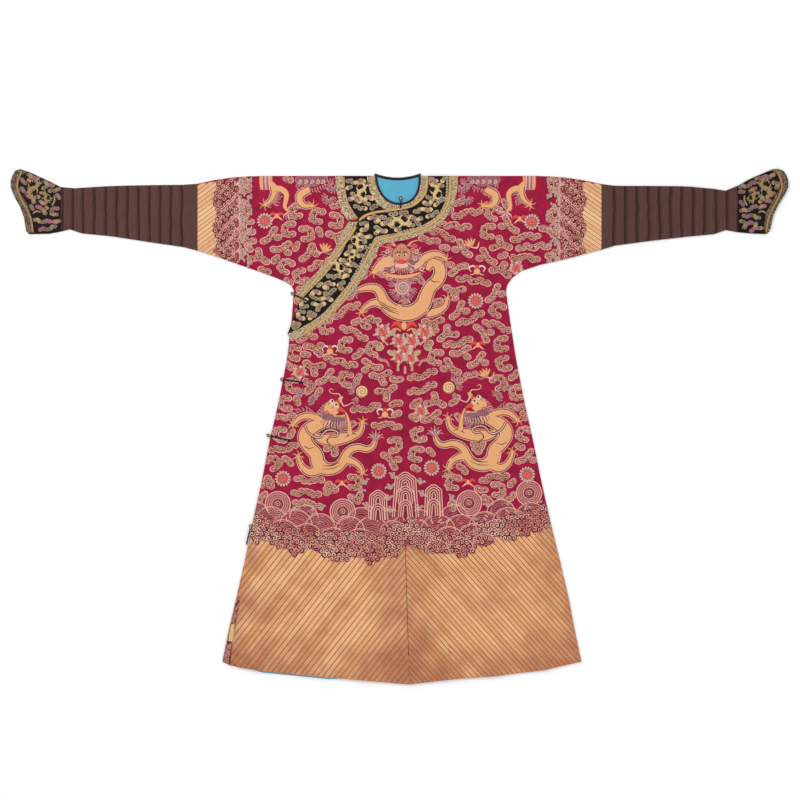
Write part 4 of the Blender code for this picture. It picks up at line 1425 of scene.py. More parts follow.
@dataclass
class ClothPiece:
    """One cut of cloth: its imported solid's own skin, cut finer and given its creases."""

    node: str
    finish: object
    slot: str
    cell: float  # mm
    flat: tuple[float, float]  # m, the rectangle that the cut comes from
    area: float  # m2, the cut's own
    soften: int = 5
    creases: tuple[Crease, ...] = ()

    def build(self) -> bpy.types.Object:
        """The piece, cut finer, softened, creased and given its finish."""
        source = bpy.data.objects[self.node]
        mesh = bmesh.new()
        mesh.from_mesh(source.data)
        bmesh.ops.remove_doubles(mesh, verts=mesh.verts, dist=1e-6)
        bmesh.ops.dissolve_limit(mesh, angle_limit=0.003, verts=mesh.verts, edges=mesh.edges)
        self._cut(mesh)
        self._soften(mesh)
        self._crease(mesh)
        bmesh.ops.triangulate(mesh, faces=[face for face in mesh.faces if len(face.verts) > 4])
        data = bpy.data.meshes.new(f"{self.node}_cloth")
        mesh.to_mesh(data)
        mesh.free()
        data.materials.append(PALETTE.get(self.finish))
        data.shade_smooth()
        data.set_sharp_from_angle(angle=math.radians(45))
        piece = placed(f"{self.node}_cloth", data, self.slot)
        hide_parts(self.node)
        return piece

    def _cut(self, mesh: bmesh.types.BMesh) -> None:
        """Cut the skin into cells."""
        low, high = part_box(self.node)
        for axis in (0, 1):
            count = max(1, round((high[axis] - low[axis]) / MM / self.cell))
            normal = Vector((1, 0, 0)) if axis == 0 else Vector((0, 1, 0))
            for i in range(1, count):
                place = low + (high - low) * (i / count)
                bmesh.ops.bisect_plane(
                    mesh,
                    geom=[*mesh.verts, *mesh.edges, *mesh.faces],
                    plane_co=place,
                    plane_no=normal,
                    dist=1e-6,
                )

    def _soften(self, mesh: bmesh.types.BMesh) -> None:
        """Round the folds, and leave the edges where they are."""
        edges = {
            vert
            for edge in mesh.edges
            if edge.calc_face_angle(0) > math.radians(35)
            for vert in edge.verts
        }
        inner = [vert for vert in mesh.verts if vert not in edges]
        for _ in range(self.soften):
            bmesh.ops.smooth_vert(mesh, verts=inner, factor=0.5, use_axis_z=True)

    def _crease(self, mesh: bmesh.types.BMesh) -> None:
        """Lift the upper layers along the creases, and clear the underside for its stitches."""
        for vert in mesh.verts:
            x, y, z = vert.co / MM
            rise = sum(crease.lift(x, y) for crease in self.creases)
            share = min(max((z - 1.3) / 2.7, 0.0), 1.0)
            vert.co.z = max(z + rise * share, UNDERSIDE) * MM


# The crimson's small deep patches are painted shade of its small wrinkles, over a random tone.
CRIMSON = WovenSilk("crimson_silk_satin", "#9E0B38", "#7A0528", "#A81742", sheen=0.0, patch_mm=32)
NAVY = WovenSilk("navy_silk_satin", "#120907", "#0C0605", "#1D1210", patch_mm=40, sheen=0.0)
TURQUOISE = WovenSilk("turquoise_silk_lining", "#56A8C5", "#4E9EBC", "#68B2CD", patch_mm=60)
DARK_EDGE = WovenSilk("dark_silk_binding", "#221A2A", "#1A1420", "#382C3C", patch_mm=30)
BROWN_LEFT = TuckedSilk("brown_tucked_silk_left", "#503330", "#321C18", "#5D403B", 576.0, 30.4)
BROWN_RIGHT = TuckedSilk("brown_tucked_silk_right", "#523430", "#331C18", "#5F413C", 584.0, 29.4)
BROCADE = Brocade("brocade_border", "#6E5842", "#AC926C", "#D8C6A4")
CUFF_BROCADE = Brocade("brown_brocade_border", "#2C1C12", "#5A4430", "#917A5C")
GILT = WovenSilk("gilt_brass_button", "#B89A66", "#8A6E42", "#D9C08E", patch_mm=6)


@dataclass
class Studio:
    """A pale floor, soft light from above and a camera straight over the robe."""

    lens: float = 85.0  # mm
    view: float = 2.16  # m across the frame

    def build(self) -> None:
        """Set the floor, the lights and the camera."""
        middle = Vector((0.5 * SQUARE * MM, 0.0717, 0))
        floor = bpy.data.meshes.new("floor")
        mesh = bmesh.new()
        bmesh.ops.create_grid(mesh, x_segments=1, y_segments=1, size=8.0)
        bmesh.ops.translate(mesh, verts=mesh.verts, vec=(0, 0, -0.0002))
        mesh.to_mesh(floor)
        mesh.free()
        floor.materials.append(Paint("white_matt_paper", 0.9, 0.1).done("#FFFFFF"))
        ground = bpy.data.objects.new("floor", floor)
        bpy.context.scene.collection.objects.link(ground)
        world = bpy.data.worlds.new("studio")
        bpy.context.scene.world = world
        world.use_nodes = True
        world.node_tree.nodes["Background"].inputs[0].default_value = linear("#FFFFFF")
        world.node_tree.nodes["Background"].inputs[1].default_value = 0.76
        self._softbox("key", (-1.9, 2.4, 3.2), 2.2, 62.0)
        self._softbox("fill", (2.2, -1.6, 3.6), 2.6, 22.0)
        camera = bpy.data.cameras.new("camera")
        camera.lens = self.lens
        away = self.view / 2 / (camera.sensor_width / 2 / camera.lens)
        camera.clip_end = 40.0
        seat = bpy.data.objects.new("camera", camera)
        seat.location = (middle.x, middle.y, away)
        bpy.context.scene.collection.objects.link(seat)
        bpy.context.scene.camera = seat
        bpy.context.scene.view_settings.view_transform = "Standard"

    def _softbox(self, name: str, place: tuple[float, float, float], size: float, power: float) -> None:
        """Hang a square light that faces the robe's middle."""
        light = bpy.data.lights.new(name, "AREA")
        light.size = size
        light.energy = power
        box = bpy.data.objects.new(name, light)
        box.location = place
        box.rotation_euler = (-Vector(place)).to_track_quat("-Z", "Y").to_euler()
        bpy.context.scene.collection.objects.link(box)


CRIMSON_SLOT, NAVY_SLOT = "crimson_silk", "navy_silk"
CUTS = (
    ("body_left", CRIMSON, CRIMSON_SLOT, 12, (0.545, 2.744), 1.0615),
    ("body_right", CRIMSON, CRIMSON_SLOT, 12, (0.575, 2.744), 1.0586),
    ("front_overlap", CRIMSON, CRIMSON_SLOT, 11, (0.488, 1.282), 0.4402),
    ("lining_back", TURQUOISE, "turquoise_lining", 16, (0.935, 1.357), 0.9169),
    ("sleeve_left", BROWN_LEFT, "ribbed_silk", 6, (0.369, 0.356), 0.1054, 0),
    ("sleeve_right", BROWN_RIGHT, "ribbed_silk", 6, (0.369, 0.364), 0.1078, 0),
    ("cuff_left", NAVY, NAVY_SLOT, 6, (0.135, 0.354), 0.0352),
    ("cuff_right", NAVY, NAVY_SLOT, 6, (0.135, 0.354), 0.0356),
    ("cuff_border_left", CUFF_BROCADE, "brocade", 6, (0.02, 0.19), 0.0037),
    ("cuff_border_right", CUFF_BROCADE, "brocade", 6, (0.02, 0.195), 0.0038),
    ("collar_front", NAVY, NAVY_SLOT, 8, (0.2, 0.57), 0.0366),
    ("collar_underlap", NAVY, NAVY_SLOT, 8, (0.118, 0.118), 0.0081),
    ("collar_back", NAVY, NAVY_SLOT, 8, (0.332, 0.103), 0.0262),
    ("border_front", BROCADE, "brocade", 6, (0.0185, 0.845), 0.0155),
    ("border_overlap", BROCADE, "brocade", 6, (0.0185, 0.33), 0.0061),
    ("border_underlap", BROCADE, "brocade", 6, (0.0185, 0.152), 0.0028),
    ("neck_band_front", BROCADE, "brocade", 6, (0.017, 0.115), 0.0019),
    ("neck_band_underlap", BROCADE, "brocade", 6, (0.017, 0.163), 0.0027),
    ("neck_binding_front", DARK_EDGE, "dark_binding", 6, (0.0105, 0.1), 0.001),
    ("neck_binding_underlap", DARK_EDGE, "dark_binding", 6, (0.0105, 0.087), 0.0009),
    ("neck_binding_back", DARK_EDGE, "dark_binding", 6, (0.0105, 0.124), 0.0013),
)  # each piece's finish, slot, cell in mm, and the cut's rectangle and own area in metres


SIDE_CREASES = (
    ((62, 190), (86, 199), 5, 1.5), ((61, 204), (84, 207), 4, 1.3), ((62, 219), (84, 213), 5, 1.5),
    ((60, 229), (78, 223), 4, 1.1), ((246, 238), (302, 263), 9, 1.5), ((252, 212), (300, 222), 8, 1.1),
)  # the puckers at the cuff and the soft pulls from the armpit: ends, half width and height
CREASES = (
    Crease((402.6, 177), (402.9, 206), 2.4, 1.6),
    Crease((300, 290), (352, 320), 10, 1.4), Crease((506, 296), (450, 331), 10, 1.4),
    Crease((430, 381), (520, 398), 9, 1.2), Crease((300, 353), (374, 372), 9, 1.2),
    *(Crease(*crease) for crease in SIDE_CREASES),
    *(Crease(*mirrored(crease[:2], CHART_MIDDLE), *crease[2:]) for crease in SIDE_CREASES),
)  # the lining's middle fold and the soft pulls across the body and the sleeves


@dataclass
class Garment:
    """All the cloth of the robe, each cut laid where its solid is."""

    creases: tuple[Crease, ...] = ()
    pieces: dict[str, bpy.types.Object] = field(default_factory=dict)

    def build(self) -> None:
        """Build every cut."""
        for cut in CUTS:
            piece = ClothPiece(*cut, creases=self.creases)
            self.pieces[piece.node] = piece.build()

    def ground(self, *nodes: str, side: int = 1, middle: float = CHART_MIDDLE) -> Ground:
        """The surface of some of the cuts, to stitch on."""
        return Ground([self.pieces[node] for node in nodes], side, middle)


@dataclass(frozen=True)
class Zone:
    """An oval of the chart that the scattered clouds keep clear of."""

    column: float
    row: float
    across: float
    down: float

    def holds(self, column: float, row: float, margin: float = 0.0) -> bool:
        """Whether a place lies inside, or within a margin of it."""
        wide, tall = self.across + margin, self.down + margin
        return math.hypot((column - self.column) / wide, (row - self.row) / tall) < 1


def height_at(edge: Sequence[Place], column: float) -> float:
    """The row of an edge at a column, between the edge's places."""
    for (x0, y0), (x1, y1) in zip(edge, edge[1:]):
        if x0 <= column <= x1:
            return y0 + (y1 - y0) * (column - x0) / (x1 - x0)
    return edge[0][1] if column < edge[0][0] else edge[-1][1]


SEA_TOP = (
    (220, 503), (250, 506), (275, 508), (300, 511), (330, 515), (358, 513), (376, 518), (392, 517),
    (405, 519), (418, 516), (434, 513), (452, 514), (480, 512), (510, 506), (540, 500), (580, 494),
)
HILLS = (
    (391, 523, 14), (419, 522, 13), (454, 519, 15), (361, 521, 14), (304, 519, 15), (501, 514, 15),
    (256, 514, 13), (548, 504, 13),
    (247, 519, 15), (271, 523, 17), (296, 526, 17), (320, 529, 16), (350, 531, 15), (372, 534, 18),
    (393, 534, 14), (417, 533, 14), (438, 532, 18), (461, 530, 16), (485, 528, 17), (508, 523, 16),
    (531, 518, 16), (553, 513, 15), (568, 509, 13), (259, 531, 15), (283, 535, 16), (307, 539, 16),
    (333, 543, 16), (360, 545, 17), (384, 546, 14), (404, 545, 12), (426, 545, 14), (449, 543, 17),
    (473, 539, 16), (497, 535, 16), (520, 530, 15), (543, 524, 15), (564, 518, 13), (295, 547, 13),
    (321, 551, 13), (346, 554, 13), (372, 555, 13), (437, 551, 12), (461, 550, 13), (484, 545, 12),
)  # each hill's foot, by column and row, and its radius
CREST_TOP = (
    (220, 508), (247, 510), (262, 516), (275, 523), (290, 527), (305, 530), (320, 532), (335, 534),
    (350, 533), (362, 530), (378, 531), (392, 527), (400, 522), (405, 519), (412, 521), (425, 528),
    (440, 532), (455, 531), (470, 529), (490, 521), (510, 516), (530, 509), (550, 504), (580, 498),
)

SEA_FOOT = (
    (220, 530), (240, 538), (256, 545), (265, 540), (272, 545), (281, 551), (289, 552), (296, 558),
    (301, 554), (313, 549), (322, 554), (331, 561), (338, 563), (344, 561), (360, 558), (369, 565),
    (375, 564), (382, 557), (393, 560), (400, 551), (406, 541), (416, 549), (431, 554), (440, 555),
    (449, 553), (459, 557), (470, 556), (480, 547), (490, 540), (500, 538), (510, 541), (528, 535),
    (545, 530), (580, 522),
)
WHIRLS = ((278, 504), (342.8, 511.5), (469, 503), (529, 493))
MEDALLIONS = (
    (265, 221), (531.7, 222), (475.7, 301), (283, 478.5), (378.8, 471), (431.6, 467.7),
    (527, 474.5),
)
SIGNS = (
    ("fan", 471, 242), ("fan", 324, 247), ("gourd", 477, 269), ("gourd", 385, 412), ("bat", 519.7, 219),
    ("bat", 277, 216), ("bat", 342, 483), ("bat", 468, 482), ("blossom", 421, 411), ("blossom", 300, 372),
    ("fan", 486, 372), ("gourd", 330, 349), ("bat", 478, 345), ("blossom", 516, 268),
)
CLEAR = (
    Zone(402, 257, 26, 17), Zone(402.8, 287.6, 14, 12), Zone(404, 334, 29, 13), Zone(404, 356, 23, 17),
    *(Zone(*place, 7.5, 7.5) for place in CHEST_DRAGON.body),
    *(Zone(*place, 4.5, 4.5) for limb in CHEST_DRAGON.limbs for place in limb.line),
    *(
        Zone(*place, across, down)
        for column, row, across, down in (
            (334, 408, 17, 20), (362, 391.7, 9, 9), (311, 405, 8, 8), (362, 466, 8, 8),
            *((*place, 8, 8) for place in SKIRT_DRAGON.body),
            *((*place, 4.5, 4.5) for limb in SKIRT_DRAGON.limbs for place in limb.line),
        )
        for place in ((column, row), (2 * 405.3 - column, row - 4))
    ),
    Zone(405, 420, 3, 58), Zone(405, 494, 18, 26), Zone(378, 505, 15, 22), Zone(434, 501, 14, 22),
    Zone(317, 186, 25, 21), Zone(270, 196, 20, 20), Zone(482, 186, 25, 21), Zone(529, 196, 20, 20),
    *(Zone(column, row, 9.6, 9.6) for column, row in MEDALLIONS),
    *(Zone(column, row, 13, 13) for column, row in WHIRLS),
)


@dataclass
class CloudField:
    """Lucky clouds sewn all over a ground, in loose rows round the larger motifs."""

    ground: Ground
    threads: Sequence[Thread] = (Thread.CLOUD,)
    clear: Sequence[Zone] = CLEAR
    size: float = 1.0
    gap: float = 7.9
    columns: Place = (246, 553)
    rows: Place = (180, 522)
    foot: Sequence[Place] = SEA_TOP
    seed: int = 11
    above: Ground | None = None  # cloth that hides the ground where it lies higher
    taken: dict[tuple[int, int], list[Vector]] = field(default_factory=dict)
    zones: dict[tuple[int, int], list[Zone]] = field(default_factory=dict)

    def __post_init__(self) -> None:
        """Sort the zones to keep clear by the part of the chart that they touch."""
        for zone in self.clear:
            wide, tall = zone.across + 4, zone.down + 4
            for i in range(int((zone.column - wide) / 12), int((zone.column + wide) / 12) + 1):
                for j in range(int((zone.row - tall) / 12), int((zone.row + tall) / 12) + 1):
                    self.zones.setdefault((i, j), []).append(zone)

    def sow(self, work: Needlework) -> None:
        """Scatter the clouds: long ones in rows, then short ones in the gaps that are left."""
        chance = random.Random(self.seed)
        patterns = {form: form.pattern(self.threads) for form in CloudForm}
        tiers = (
            ([form for form in CloudForm if len(form.value) > 6], 4.0, 5, 22),
            ([CloudForm.CROOK, CloudForm.BENT, CloudForm.KNOT, CloudForm.TREFOIL], 2.8, 5, 36),
            ([CloudForm.PAIR, CloudForm.HOOK], 2.6, 4, 40),
            ([CloudForm.LONE], 2.4, 3, 50),
            ([CloudForm.BUD], 2.0, 2, 60),
        )
        for forms, pitch, tries, wide in tiers:
            step = pitch * self.size
            for i in range(round((self.rows[1] - self.rows[0]) / step)):
                for j in range(round((self.columns[1] - self.columns[0]) / step)):
                    column = self.columns[0] + (j + chance.uniform(-0.4, 0.4)) * step
                    spot = (column, self.rows[0] + (i + chance.uniform(-0.4, 0.4)) * step)
                    if not self._free(Vector(spot)):
                        continue
                    for _ in range(tries):
                        form = chance.choice(forms)
                        if self._try(work, patterns[form], form, spot, wide, chance):
                            break
        for pattern in patterns.values():
            bpy.data.meshes.remove(pattern)

    def _try(
        self,
        work: Needlework,
        pattern: bpy.types.Mesh,
        form: CloudForm,
        spot: Place,
        wide: float,
        chance: random.Random,
    ) -> bool:
        """Stamp a cloud where it's free, and tell whether it was."""
        scale = (chance.choice((-1, 1)) * self.size, chance.choice((-1, 1)) * self.size)
        turn = chance.uniform(-wide, wide)
        places = form.places(spot, turn, scale)
        if not all(self._free(place) for place in places):
            return False
        for place in places:
            key = (int(place.x / self.gap), int(place.y / self.gap))
            self.taken.setdefault(key, []).append(place)
        work.stamp(pattern, spot, turn, scale, chance.uniform(0.25, 0.75))
        return True

    def _free(self, place: Vector) -> bool:
        """Whether a lobe of a cloud fits at a place."""
        near = self.gap * self.size
        column, row = int(place.x / self.gap), int(place.y / self.gap)
        for i in range(-1, 2):
            for j in range(-1, 2):
                for other in self.taken.get((column + i, row + j), ()):
                    if (other - place).length < near:
                        return False
        if place.y > height_at(self.foot, place.x) - 4:
            return False
        near_zones = self.zones.get((int(place.x / 12), int(place.y / 12)), ())
        if any(zone.holds(place.x, place.y, 3 * self.size) for zone in near_zones):
            return False
        tight = self.above is None
        edge = ((1.6, 1.2), (-1.6, 1.2), (0, -1.8)) if tight else ((3, 2.6), (-3, 2.6), (0, -3.6))
        spots = [(place.x + x * self.size, place.y + y * self.size) for x, y in edge]
        return all(self.ground.bare(*spot, self.above) for spot in spots)


def crimson_ground(ground: Ground, name: str, shift: float) -> bpy.types.Object:
    """The scattered clouds, lucky signs and round blossoms of the crimson silk.

    Args:
        ground: the cloth to sew on.
        name: the piece's name.
        shift: how far the sleeves' seams lie to the chart's right of their usual columns.

    Returns:
        The finished needlework.
    """
    work = Needlework()
    spots = [Zone(column, row, 6.5, 5.5) for _, column, row in SIGNS]
    CloudField(ground, clear=(*CLEAR, *spots), columns=(246 + shift, 553 + shift)).sow(work)
    signs = {"bat": bat(), "blossom": blossom(), "gourd": ribboned_gourd(), "fan": fan_and_ribbons()}
    for index, (kind, column, row) in enumerate(SIGNS):
        work.stamp(signs[kind], (column, row), scale=(1 - 2 * (index % 2), 1))
    flower = medallion()
    for index, place in enumerate(MEDALLIONS):
        if ground.covers(*place):
            work.stamp(flower, place, 13.0 * index)
    for pattern in (*signs.values(), flower):
        bpy.data.meshes.remove(pattern)
    return work.sew(name, ground, "crimson_silk")


@dataclass
class Sea:
    """The waves over the hem: hills of water, coiled crests, whirls and the three peaks."""

    ground: Ground
    pitch: float = 5.0

    def build(self, name: str) -> bpy.types.Object:
        """Stitch the sea from its hills down to its last crests."""
        work = Needlework()
        chance = random.Random(5)
        self._bank(work)
        for column, row in WHIRLS:
            self.whirl(work, column, row)
        for peak in PEAKS:
            peak.work(work)
        for index, (column, row, radius) in enumerate(HILLS):
            if self.ground.covers(column, row):
                hill(work, (column, row), radius, 0.2 + 0.02 * index)
        for _ in range(150):
            column = chance.uniform(240, 560)
            row = chance.uniform(height_at(SEA_TOP, column) + 2, height_at(CREST_TOP, column) + 2)
            turn = math.radians(chance.uniform(-60, 60))
            out = Vector((math.cos(turn), math.sin(turn))) * chance.uniform(3, 6)
            line = [Vector((column, row)), Vector((column, row)) + out]
            if all(self.ground.covers(*place) for place in line):
                thread = chance.choice((Thread.PINK, Thread.MANE, Thread.RED, Thread.PALE_ROSE))
                work.stroke(line, (0.8, 1.8, 0.7), thread, 0.3, step=3, lift=1.0)
        for column, row, turn in SPRAYS:
            if self.ground.covers(column, row):
                foam(work, (column, row), turn, 0.92, 0.0)
        curl = self.curl()
        for i in range(22):
            row = 500 + i * self.pitch * 0.84
            for j in range(78):
                column = 222 + (j + 0.5 * (i % 2)) * self.pitch + chance.uniform(-0.5, 0.5)
                if not height_at(CREST_TOP, column) < row < height_at(SEA_FOOT, column) - 1.5:
                    continue
                if self.ground.covers(column, row):
                    size = chance.uniform(0.94, 1.12)
                    turn = chance.uniform(0, 360)
                    patch = math.sin(column / 13 + 2 * math.sin(row / 9)) * math.sin(row / 11 + 1)
                    tint = min(1, max(0, 0.5 + 0.5 * patch + chance.uniform(-0.3, 0.3)))
                    work.stamp(curl, (column, row), turn, (size, size), tint, 1.1)
        if self.ground.side > 0:
            self._edge_strip(work, curl)
        bpy.data.meshes.remove(curl)
        return work.sew(name, self.ground, "crimson_silk")

    def _bank(self, work: Needlework) -> None:
        """A dark ground of laid silk behind the hills and crests."""
        for column in range(224, 576, 8):
            top = height_at(SEA_TOP, column) + 3
            foot = height_at(SEA_FOOT, column) - 3
            line = self.ground.reach(Vector((column, top)), Vector((column, foot)), -0.9, 99)
            if line and (line[1] - line[0]).length > 4:
                line = [line[0], (line[0] + line[1]) / 2, line[1]]
                work.stroke(line, (8.6, 8.6), Thread.BANK, 0.3, step=7)

    def _edge_strip(self, work: Needlework, curl: bpy.types.Mesh) -> None:
        """The strip of the under cut that shows past the fastened edge: crests, gold, crests."""
        for low, high, thread in ((597, 663, Thread.OUTLINE), (624, 641, Thread.OLD_GOLD)):
            line = [(238.6 - 0.185 * (row - 597), row) for row in (low, (low + high) / 2, high)]
            wide = [1.5 + 0.085 * (row - 590) for row in (low, (low + high) / 2, high)]
            work.stroke(line, wide, thread, 0.4, step=4, lift=0.8 if thread is Thread.OLD_GOLD else 0.6)
        for k in range(34):
            row = 598.6 + 1.9 * k
            if 622 < row < 643 or row > 661:
                continue
            column = 238.2 - 0.185 * (row - 597) + (0.9, -0.9)[k % 2] * (row - 585) / 40
            work.stamp(curl, (column, row), 70.0 * k, (0.8, 0.8), lift=1.1)

    @staticmethod
    def curl() -> bpy.types.Mesh:
        """One coiled crest, as a pattern."""
        work = Needlework()
        work.disc((0, 0), (3.0, 3.0), Thread.CURL, 0.6, sides=8)
        return work.pattern()

    @staticmethod
    def whirl(work: Needlework, column: float, row: float, radius: float = 13) -> None:
        """A whirl of water: rings of cream and rose thread round a coiled eye."""
        work.disc((column, row), (radius, radius), Thread.HILL, 0.4, sides=22)
        for share, width in ((0.97, 0.9), (0.8, 0.5), (0.64, 0.5), (0.48, 0.6)):
            reach = radius * share
            angles = [math.tau * k / 16 for k in range(17)]
            ring = [(column + reach * math.cos(a), row + reach * math.sin(a)) for a in angles]
            work.stroke(ring, (width, width), Thread.CREAM, 0.4, step=2.6, lift=0.35)
        work.disc((column, row), (radius * 0.28,) * 2, Thread.CURL, 0.6, sides=10, lift=0.3)


def hill(work: Needlework, foot: Place, radius: float, lift: float = 0.0, turn: float = 0.0) -> None:
    """A hill of water: laid rows that follow its arch, inside two cream lines.

    Args:
        work: the needlework to add to.
        foot: the middle of its foot.
        radius: its outer radius.
        lift: how far it lies over the cloth, in mm.
        turn: which way its top points, in degrees from the chart's upward way.
    """

    def arch(reach: float) -> list[Place]:
        angles = [math.radians(-176 + 172 * k / 8 + turn) for k in range(9)]
        return [(foot[0] + reach * math.cos(a), foot[1] + reach * math.sin(a)) for a in angles]

    tint = 0.3 + 0.4 * ((foot[0] * 7) % 10) / 10
    work.stroke(arch(radius * 0.5), (radius * 0.98,) * 2, Thread.HILL, 0.3, step=4.5, lift=lift, tint=tint)
    work.stroke(arch(radius * 0.97), (0.8,) * 2, Thread.CREAM, 0.4, step=3.0, lift=lift + 0.3)


@dataclass(frozen=True)
class Peak:
    """A mountain rising from the sea: nested pointed outlines in tiers, with long straight flanks."""

    column: float
    top: float
    foot: float
    width: float
    tiers: int
    brow: float  # the share of the width at the shoulders
    pitch: float = 2.15  # from one line to the next

    def work(self, work: Needlework) -> None:
        """Stitch a dark backing and the nested lines."""
        head = self.width * self.brow
        drop = (self.foot - self.top) / (self.tiers + 0.25)
        for tier in range(self.tiers):
            top = self.top + tier * drop
            half = head / 2 + (self.width - head) / 2 * tier / self.tiers - 1.4 * self.pitch * tier
            wide = (2.5, half * 1.9, half * 2, self.width - 2.8 * self.pitch * tier)
            spine = [(self.column, top), (self.column, top + 0.62 * half + 1), (self.column, self.foot)]
            work.stroke(spine, wide, Thread.BANK, 0.4, step=4, ribs=4, lift=0.3 + 0.6 * tier)
            for k in range(int((half - 0.6) / self.pitch) + 1):
                flank = half - k * self.pitch
                whole = tier == self.tiers - 1 or (tier == 0 and k < 2)
                low = self.foot if whole else top + drop * 1.1 + 2.5 * k
                flare = (self.width - head) / 2 * (low - top) / (self.foot - self.top)
                y = top + k * self.pitch * 1.12
                shoulder = y + 0.62 * flank
                line = [
                    (self.column - flank - flare, low), (self.column - flank, shoulder),
                    (self.column - 0.2 * flank, y + 0.2), (self.column + 0.2 * flank, y + 0.2),
                    (self.column + flank, shoulder), (self.column + flank + flare, low),
                ]
                work.stroke(angular(line), (1.0, 1.0), Thread.CREAM, 0.5, step=2.0, lift=0.6 + 0.6 * tier)


PEAKS = (
    Peak(405.4, 472.0, 517, 26, 3, 0.78),
    Peak(378.0, 490.0, 520, 19.5, 2, 0.84),
    Peak(433.6, 484.5, 516, 18.5, 2, 0.84),
)


SPRAYS = (
    (354, 500, -110), (360, 492, -70), (366, 484, -120), (391, 489, -110), (392, 478, -60),
    (389, 500, -100),
    (420, 484, -80), (421, 496, -60), (447, 490, -60), (450, 500, -40), (448, 478, -110), (456, 507, -90),
    (296, 512, -100), (304, 506, -60), (312, 515, -80), (322, 510, -110), (366, 508, -70), (488, 507, -90),
    (498, 500, -70), (508, 505, -110), (250, 508, -80), (549, 498, -100), (390, 512, -80), (419, 510, -100),
)  # the breaking crests between the peaks: the root and the way it breaks, in degrees


@dataclass
class LishuiHem:
    """Standing water: slanting stripes of gold below the sea, meeting at the middle seam."""

    ground: Ground
    seam: Sequence[Place] = ((405.0, 541), (409.4, 684))
    pitches: tuple[float, float] = (4.75, 4.03)  # the stripes' width on each side of the seam
    slants: tuple[float, float] = (52.0, 48.0)  # degrees from level
    foot: float = 700.0

    def build(self, name: str) -> bpy.types.Object:
        """Lay the stripes wherever the cloth reaches."""
        whole = Needlework()
        front = self.ground.side > 0
        seam = self.seam if front else mirrored(self.seam, BACK_MIDDLE)
        for index, side in enumerate((-1, 1)):
            layers = ((4.2, 99.0), (1.4, 4.2)) if front and side < 0 else ((-0.5, 99.0),)
            half = self._half(seam, side, index, layers)
            whole.stamp(half, (0, 0))
            bpy.data.meshes.remove(half)
        top, foot = (Vector(place) for place in seam)
        line = self.ground.reach(top, top + (foot - top) * 1.1, -0.9, 99)
        whole.stroke(line, (0.5, 0.6), Thread.OUTLINE, 0.2, step=6, lift=0.6)
        return whole.sew(name, self.ground, "crimson_silk")

    def _half(
        self, seam: Sequence[Place], side: int, index: int, layers: Sequence[Place]
    ) -> bpy.types.Mesh:
        """The stripes on one side of the seam, as a pattern."""
        work = Needlework()
        chance = random.Random(9 + index)
        slope = math.radians(self.slants[index])
        across = self.pitches[index] / math.sin(slope)
        heading = Vector((-side * math.cos(slope), -math.sin(slope)))
        (column, row), (foot_column, foot_row) = seam
        start = foot_column + (foot_column - column) / (foot_row - row) * (self.foot - foot_row)
        for k in range(-12, 96):
            tint = chance.uniform(0.2, 0.8)
            for low, high in layers:
                runs = []
                for share in (-0.495, -0.25, 0, 0.25, 0.495):
                    root = Vector((start + side * (k + share) * across, self.foot))
                    runs.append(self.ground.reach(root, self._top(root, heading), low, high))
                held = carried(runs, 2.0)
                if held:
                    work.strip(held, Thread.STRIPE, 0.6, 5.5, tint=tint)
        work.trim(seam, -side)
        return work.pattern()

    @staticmethod
    def _top(root: Vector, heading: Vector) -> Vector:
        """Where a stripe passes under the sea's last crests."""
        place = root.copy()
        while place.y > height_at(SEA_FOOT, place.x) - 5:
            place += heading * 2
        return place


